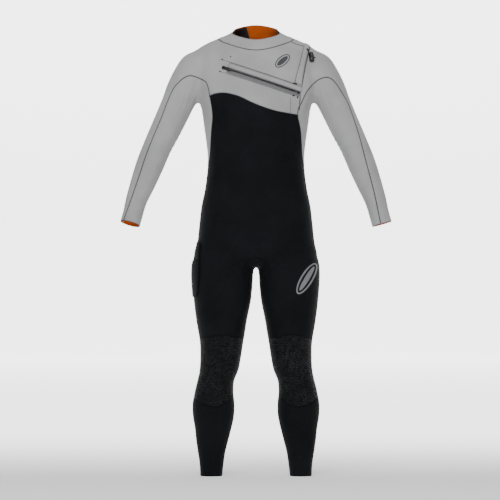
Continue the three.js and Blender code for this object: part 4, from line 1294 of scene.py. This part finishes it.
def lock_place():
    """The barrel's place: x along its cross hole, y along the barrel, z away from the skin."""
    centre, corners, ways = axes_of("cord_lock_barrel")
    up = ways[0] * np.sign(ways[0][2])
    across = ways[1] * np.sign(ways[1][0])
    outward = ways[2] * -np.sign(ways[2][1])
    heights = corners @ up
    origin = (centre + up * (heights.max() + heights.min()) / 2).round(6)
    place = np.eye(4)
    place[:3] = np.stack([across, up, outward, origin], axis=1)
    return Matrix(place.tolist())


def over_eyelet(height):
    """A place on the eyelet's axis, so many millimetres over the skin."""
    out = axes_of("drawcord_eyelet")[2][2]
    return Vector(EYELET_PLACE + out * (-np.sign(out[1]) * height * MM))


EYELET_PLACE = np.array((0.162, -0.042169, 1.361))
LOCK = lock_place()


def ring_cutter(radius, height, tall, around=40):
    """A square-edged ring round the lock's long axis, which cuts a groove."""
    profile = [(radius, height), (radius + 3, height), (radius + 3, height + tall), (radius, height + tall)]
    verts, faces = [], []
    for r, h in profile:
        for i in range(around):
            turn = 2 * math.pi * i / around
            verts.append(LOCK @ Vector((r * MM * math.cos(turn), h * MM, r * MM * math.sin(turn))))
    for row in range(4):
        for i in range(around):
            j, after = (i + 1) % around, (row + 1) % 4
            faces.append((row * around + i, row * around + j, after * around + j, after * around + i))
    return make("groove", verts, faces)


barrel = softened("cord_lock_barrel", "lock_barrel", 0.4, black_plastic, "suit")
for k in range(4):
    combine(barrel, ring_cutter(7.5, -9.0 + 2.6 * k, 0.8), "DIFFERENCE")
work_on(barrel)
bpy.ops.object.shade_smooth_by_angle(angle=math.radians(40))
softened("cord_lock_plunger", "lock_button", 0.35, black_plastic, "cord_lock_plunger")
spring = softened("cord_lock_spring", "lock_spring", 0.0, slider_steel, "suit")
work_on(spring)
bpy.ops.object.shade_smooth()
cord_places = [over_eyelet(3.1), over_eyelet(5.9)]
for x, y, z in ((-9.5, 14, 0), (-10.5, 7, 0), (-8.8, 3, 0), (-6, 3, 0), (0, 3, 0), (9, 3, 0.3), (11, 3, 1.0)):
    cord_places.append(LOCK @ Vector((x * MM, y * MM, z * MM)))
cord_line = smooth_line([tuple(p) for p in cord_places], 8)
held_cord = cord_piece("held_drawcord", [cord_line], 0.0014, 10)
held_cord.data.materials.append(black_thread)
bpy.ops.object.select_all(action="DESELECT")
bpy.ops.mesh.primitive_uv_sphere_add(segments=20, ring_count=12, radius=2.4 * MM)
bead = bpy.context.object
bead.name = "cord_bead"
bead_place = Matrix.Translation((13.7 * MM, 3 * MM, 1.5 * MM))
bead.data.transform(LOCK @ bead_place @ Matrix.Diagonal((1, 0.85, 0.85, 1)))
bead.data.materials.append(black_plastic)
work_on(bead)
bpy.ops.object.shade_smooth()
print("cord lock with", len(cord_line), "steps of cord")

# %% [markdown]
# ## Rows of stitches
# The welts and the pocket are held by lockstitch in dark thread: short capsules a few millimetres apart.
# At each end of a row the machine runs back and forth, which leaves a small dark bar. On the welts and in
# the bars the thread is near black: partly its own colour, partly painted shade of the dimple that each
# stitch presses into the cloth.

# %% One stitch, copied along every row
bpy.ops.object.select_all(action="DESELECT")
bpy.ops.mesh.primitive_ico_sphere_add(subdivisions=1, radius=1)
stitch = bpy.context.object
stitch_verts, stitch_faces = corners_of(stitch), [tuple(f.vertices) for f in stitch.data.polygons]
bpy.data.objects.remove(stitch)


def on_skin(points, lift=0.0, side=-1, step=4.4):
    """Evenly spaced places on the skin along straight runs in x and z, and the skin's direction there."""
    flat = np.array([(x, 0, z) for x, z in points], float)
    places, ups = [], []
    for x, _, z in even(flat, step, closed=False):
        place, normal = surface(x, z, side)
        if place is not None:
            places.append(np.array(place + normal * lift * MM))
            ups.append(np.array(normal))
    return np.array(places), np.array(ups)


def stitches(name, rows, material, long=3.2, wide=2.3):
    verts, faces = [], []
    for places, ups in rows:
        run = np.gradient(places, axis=0)
        for place, ahead, up in zip(places, run, ups):
            ahead, up = Vector(ahead).normalized(), Vector(up)
            up = (up - ahead * up.dot(ahead)).normalized()
            across = ahead.cross(up)
            first = len(verts)
            for x, y, z in stitch_verts:
                off = ahead * (x * long / 2) + across * (y * wide / 2) + up * (z * wide / 3)
                verts.append(Vector(place) + off * MM)
            faces += [tuple(first + v for v in face) for face in stitch_faces]
    piece = make(name, verts, faces)
    layer = piece.data.attributes.new("run", "FLOAT", "POINT")
    layer.data.foreach_set("value", [0.0003] * len(verts))
    piece.data.materials.append(material)
    work_on(piece)
    bpy.ops.object.shade_smooth()
    return piece


def bar(x, z, long, lean, lift=0.1):
    """A bartack: five stitches side by side."""
    run = (math.cos(lean), math.sin(lean))
    ends = [(x - run[0] * long / 2, z - run[1] * long / 2), (x + run[0] * long / 2, z + run[1] * long / 2)]
    return on_skin(ends, lift, step=0.9)


# Near-black stitch thread: partly the thread's own colour, partly painted shade of the dimple under each
# stitch.
stitch_thread_and_shade = thread("stitch_thread_and_shade", tone(0.016, 0.016, 0.018), tone(0.005, 0.005, 0.006))
zip_lean = -ZIP_SLOPE
chest_rows = [
    on_skin([(-107, 1328), (126, 1250.5)], 0.3), on_skin([(-113, 1290), (118, 1214)], 0.3),
    on_skin([(151, 1368), (139, 1318), (128.5, 1280), (124, 1257)], 2.7),
    on_skin([(110, 1206), (109, 1160)], 0.0),
]
chest_stitches = stitches("chest_stitch_rows", chest_rows, stitch_thread_and_shade)
bars = [bar(-108, 1328.5, 4, zip_lean), bar(124, 1251.5, 11, zip_lean), bar(-115, 1290.5, 4, zip_lean),
        bar(119, 1213.5, 6, zip_lean), bar(132, 1208, 5, zip_lean - 1.0), bar(-81, 1337, 2.5, zip_lean)]
bartacks = stitches("bartacks", bars, stitch_thread_and_shade, 1.6, 4.6)
pocket_edge = [(-184.5, 744), (-183, 726), (-185, 693)]
pocket_side = [(-185, 687), (-186, 640), (-189, 597)]
pocket_rows = [on_skin(pocket_edge, 3.3), on_skin(pocket_side, 4.3)]
pocket_stitches = stitches("pocket_stitch_rows", pocket_rows, black_thread, 2.6, 1.0)
print("stitch rows:", len(chest_rows) + 2, "and", len(bars), "bars")
bpy.data.objects.remove(form)

# %% [markdown]
# ## What moves with what
# Every piece rides on a body of the frame, except the sleeve and knee panels and their seam threads,
# which stay where they are made and ride on no body.

# %% Ride
WHOLE = {
    "chest_yoke": ["chest_yoke_with_right_sleeve", "elbow_outer_right", "forearm_outer_right"],
    "left_shoulder": ["left_shoulder_with_sleeve", "elbow_outer_left", "forearm_outer_left"],
    "underarm_right": ["underarm_panel_right", "elbow_inner_right", "forearm_inner_right"],
    "underarm_left": ["underarm_panel_left", "elbow_inner_left", "forearm_inner_left"],
    "upper_back": ["upper_back_panel"], "front_body": ["front_panel"], "lower_back": ["lower_back_panel"],
    "gusset": ["crotch_gusset"], "collar": ["collar"],
}
for hand in ("right", "left"):
    leg_nodes = {"knee_pad": "knee_pad", "knee_back": "knee_back", "shin": "shin_panel", "calf": "calf_panel"}
    for part, node in leg_nodes.items():
        WHOLE[f"{part}_{hand}"] = [f"{node}_{hand}"]
SLEEVE = {"chest_yoke": "right", "underarm_right": "right", "left_shoulder": "left", "underarm_left": "left"}


def settle_on_body(piece, name):
    """Makes a panel, or something sewn to it, move as that panel does."""
    hand = "right" if name.endswith("right") else "left"
    if name in SLEEVE:
        hand = SLEEVE[name]
        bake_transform(piece)
    elif name.startswith("knee"):
        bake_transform(piece)
    elif name.startswith(("shin", "calf")):
        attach(piece, f"lower_leg_{hand}")
    else:
        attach(piece, "suit")


def cloth_area(piece):
    """The area of one side of a panel, in square metres."""
    piece.data.calc_loop_triangles()
    return sum(face.area for face in piece.data.polygons if face.material_index == OUTSIDE)


for name, panel in panels.items():
    settle_on_body(panel, name)
    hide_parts(*WHOLE[name])
    co = corners_of(panel)
    area = cloth_area(panel)
    print(f"{name}: {area:.3f} square metres")
for name, piece in threads.items():
    settle_on_body(piece, name)

for piece, node in (
    (flap_welt, "shoulder_flap_welt"), (thigh_pocket, "thigh_pocket"), (thigh_flap, "thigh_pocket_flap"),
    (chest_mark, "chest_print"), (thigh_mark, "thigh_print"), (neck_barrier, "neck_barrier"),
    (zip_guard, "zip_guard"), (zip_welt, "zip_welt"),
    (upper_teeth, "zip_coil_upper"), (lower_teeth, "zip_coil_lower"),
    (held_cord, "drawcord"), (bead, "drawcord_end"),
):
    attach(piece, "suit")
    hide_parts(node)
for piece in (chest_stitches, bartacks, pocket_stitches):
    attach(piece, "suit")
for hand in ("right", "left"):
    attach(hem_tapes[f"wrist_{hand}"], f"forearm_{hand}")
    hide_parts(f"wrist_hem_tape_{hand}")
    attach(hem_tapes[f"ankle_{hand}"], f"lower_leg_{hand}")
    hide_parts(f"ankle_hem_tape_{hand}")


def strip_sheet(piece):
    """Measures a small sewn-on strip's greatest extent, at least 2 cm; nothing is done with it."""
    long = max(float(np.ptp(corners_of(piece), axis=0).max()), 0.02)


for piece in (flap_welt, thigh_pocket, thigh_flap, neck_barrier, zip_guard, zip_welt, *hem_tapes.values()):
    strip_sheet(piece)
for node in ("zip_tape_upper", "zip_tape_lower"):
    for slot in frame["nodes"][node].material_slots:
        slot.material = tape_weave
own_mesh(spring)

# %% [markdown]
# ## The studio
# A pale floor runs up into a white wall without a corner, as a light table does in a studio. The paper
# glows, faintly near the camera and strongly far back, and a lamp washes the wall too: the glow is painted
# light, which also lights the suit from behind and below. One large soft light stands above the camera
# and a weaker one fills the side. The wall stands far enough back that the suit can be walked round.

# %% Floor, lights and camera
def paper():
    f = Finish("glowing_studio_paper", Specular_IOR_Level=0.1)
    tint = f.noise(3, 2)
    colour = f.mix(tint, tone(0.9, 0.9, 0.9), tone(0.93, 0.93, 0.93))
    # Painted light: the paper glows, with a strength rising from 0.35 near the camera to 2.8 far back.
    f.shader.inputs["Emission Color"].default_value = tone(1, 1, 1)
    depth = f.add("ShaderNodeSeparateXYZ", {0: f.where}).outputs["Y"]
    f.tree.links.new(f.ramp(depth, -0.4, 3.5, 0.35, 2.8), f.shader.inputs["Emission Strength"])
    return f.done(colour, f.ramp(tint, 0, 1, 0.9, 0.95))


SWEEP_START, SWEEP_RADIUS = 15.0, 2.2
arc = np.linspace(0, math.pi / 2, 25)
sweep_line = [(-20.0, 0.0)]
sweep_line += [(SWEEP_START + SWEEP_RADIUS * math.sin(t), SWEEP_RADIUS * (1 - math.cos(t))) for t in arc]
sweep_line.append((SWEEP_START + SWEEP_RADIUS, 6.0))
verts = [(x, y, z) for y, z in sweep_line for x in (-20.0, 20.0)]
faces = [(2 * i, 2 * i + 1, 2 * i + 3, 2 * i + 2) for i in range(len(sweep_line) - 1)]
mesh = bpy.data.meshes.new("studio_sweep")
mesh.from_pydata(verts, [], faces)
studio = bpy.data.objects.new("studio_sweep", mesh)
bpy.context.scene.collection.objects.link(studio)
studio.data.materials.append(paper())
work_on(studio)
bpy.ops.object.shade_smooth()


def soft_light(name, place, aim, size, watts):
    data = bpy.data.lights.new(name, "AREA")
    data.shape = "RECTANGLE"
    data.size, data.size_y = size
    data.energy = watts
    lamp = bpy.data.objects.new(name, data)
    lamp.location = place
    lamp.rotation_euler = (Vector(aim) - Vector(place)).to_track_quat("-Z", "Y").to_euler()
    bpy.context.scene.collection.objects.link(lamp)


soft_light("key", (-0.5, -3.6, 3.5), (0, 0, 0.9), (2.2, 1.4), 118)
soft_light("fill", (2.6, -2.6, 1.4), (0, 0, 0.8), (1.6, 2.4), 6)
soft_light("top", (0, 0.2, 3.4), (0, 0, 0.6), (2.2, 1.6), 16)
soft_light("wall_wash", (0, 13.0, 5.0), (0, 17.0, 0.9), (6.0, 0.8), 120)

world = bpy.data.worlds.new("studio_air")
world.use_nodes = True
world.node_tree.nodes["Background"].inputs["Color"].default_value = (1, 1, 1, 1)
world.node_tree.nodes["Background"].inputs["Strength"].default_value = 0.2
bpy.context.scene.world = world

VIEW_DISTANCE = 14.0
VIEW_WIDE = 1.6
camera_data = bpy.data.cameras.new("camera")
camera_data.sensor_width = 36
camera_data.lens = 36 * VIEW_DISTANCE / VIEW_WIDE
camera_data.clip_end = 90
camera = bpy.data.objects.new("camera", camera_data)
camera.location = (-0.0192, -VIEW_DISTANCE, 0.723)
camera.rotation_euler = (math.radians(90), 0, 0)
bpy.context.scene.collection.objects.link(camera)
bpy.context.scene.camera = camera
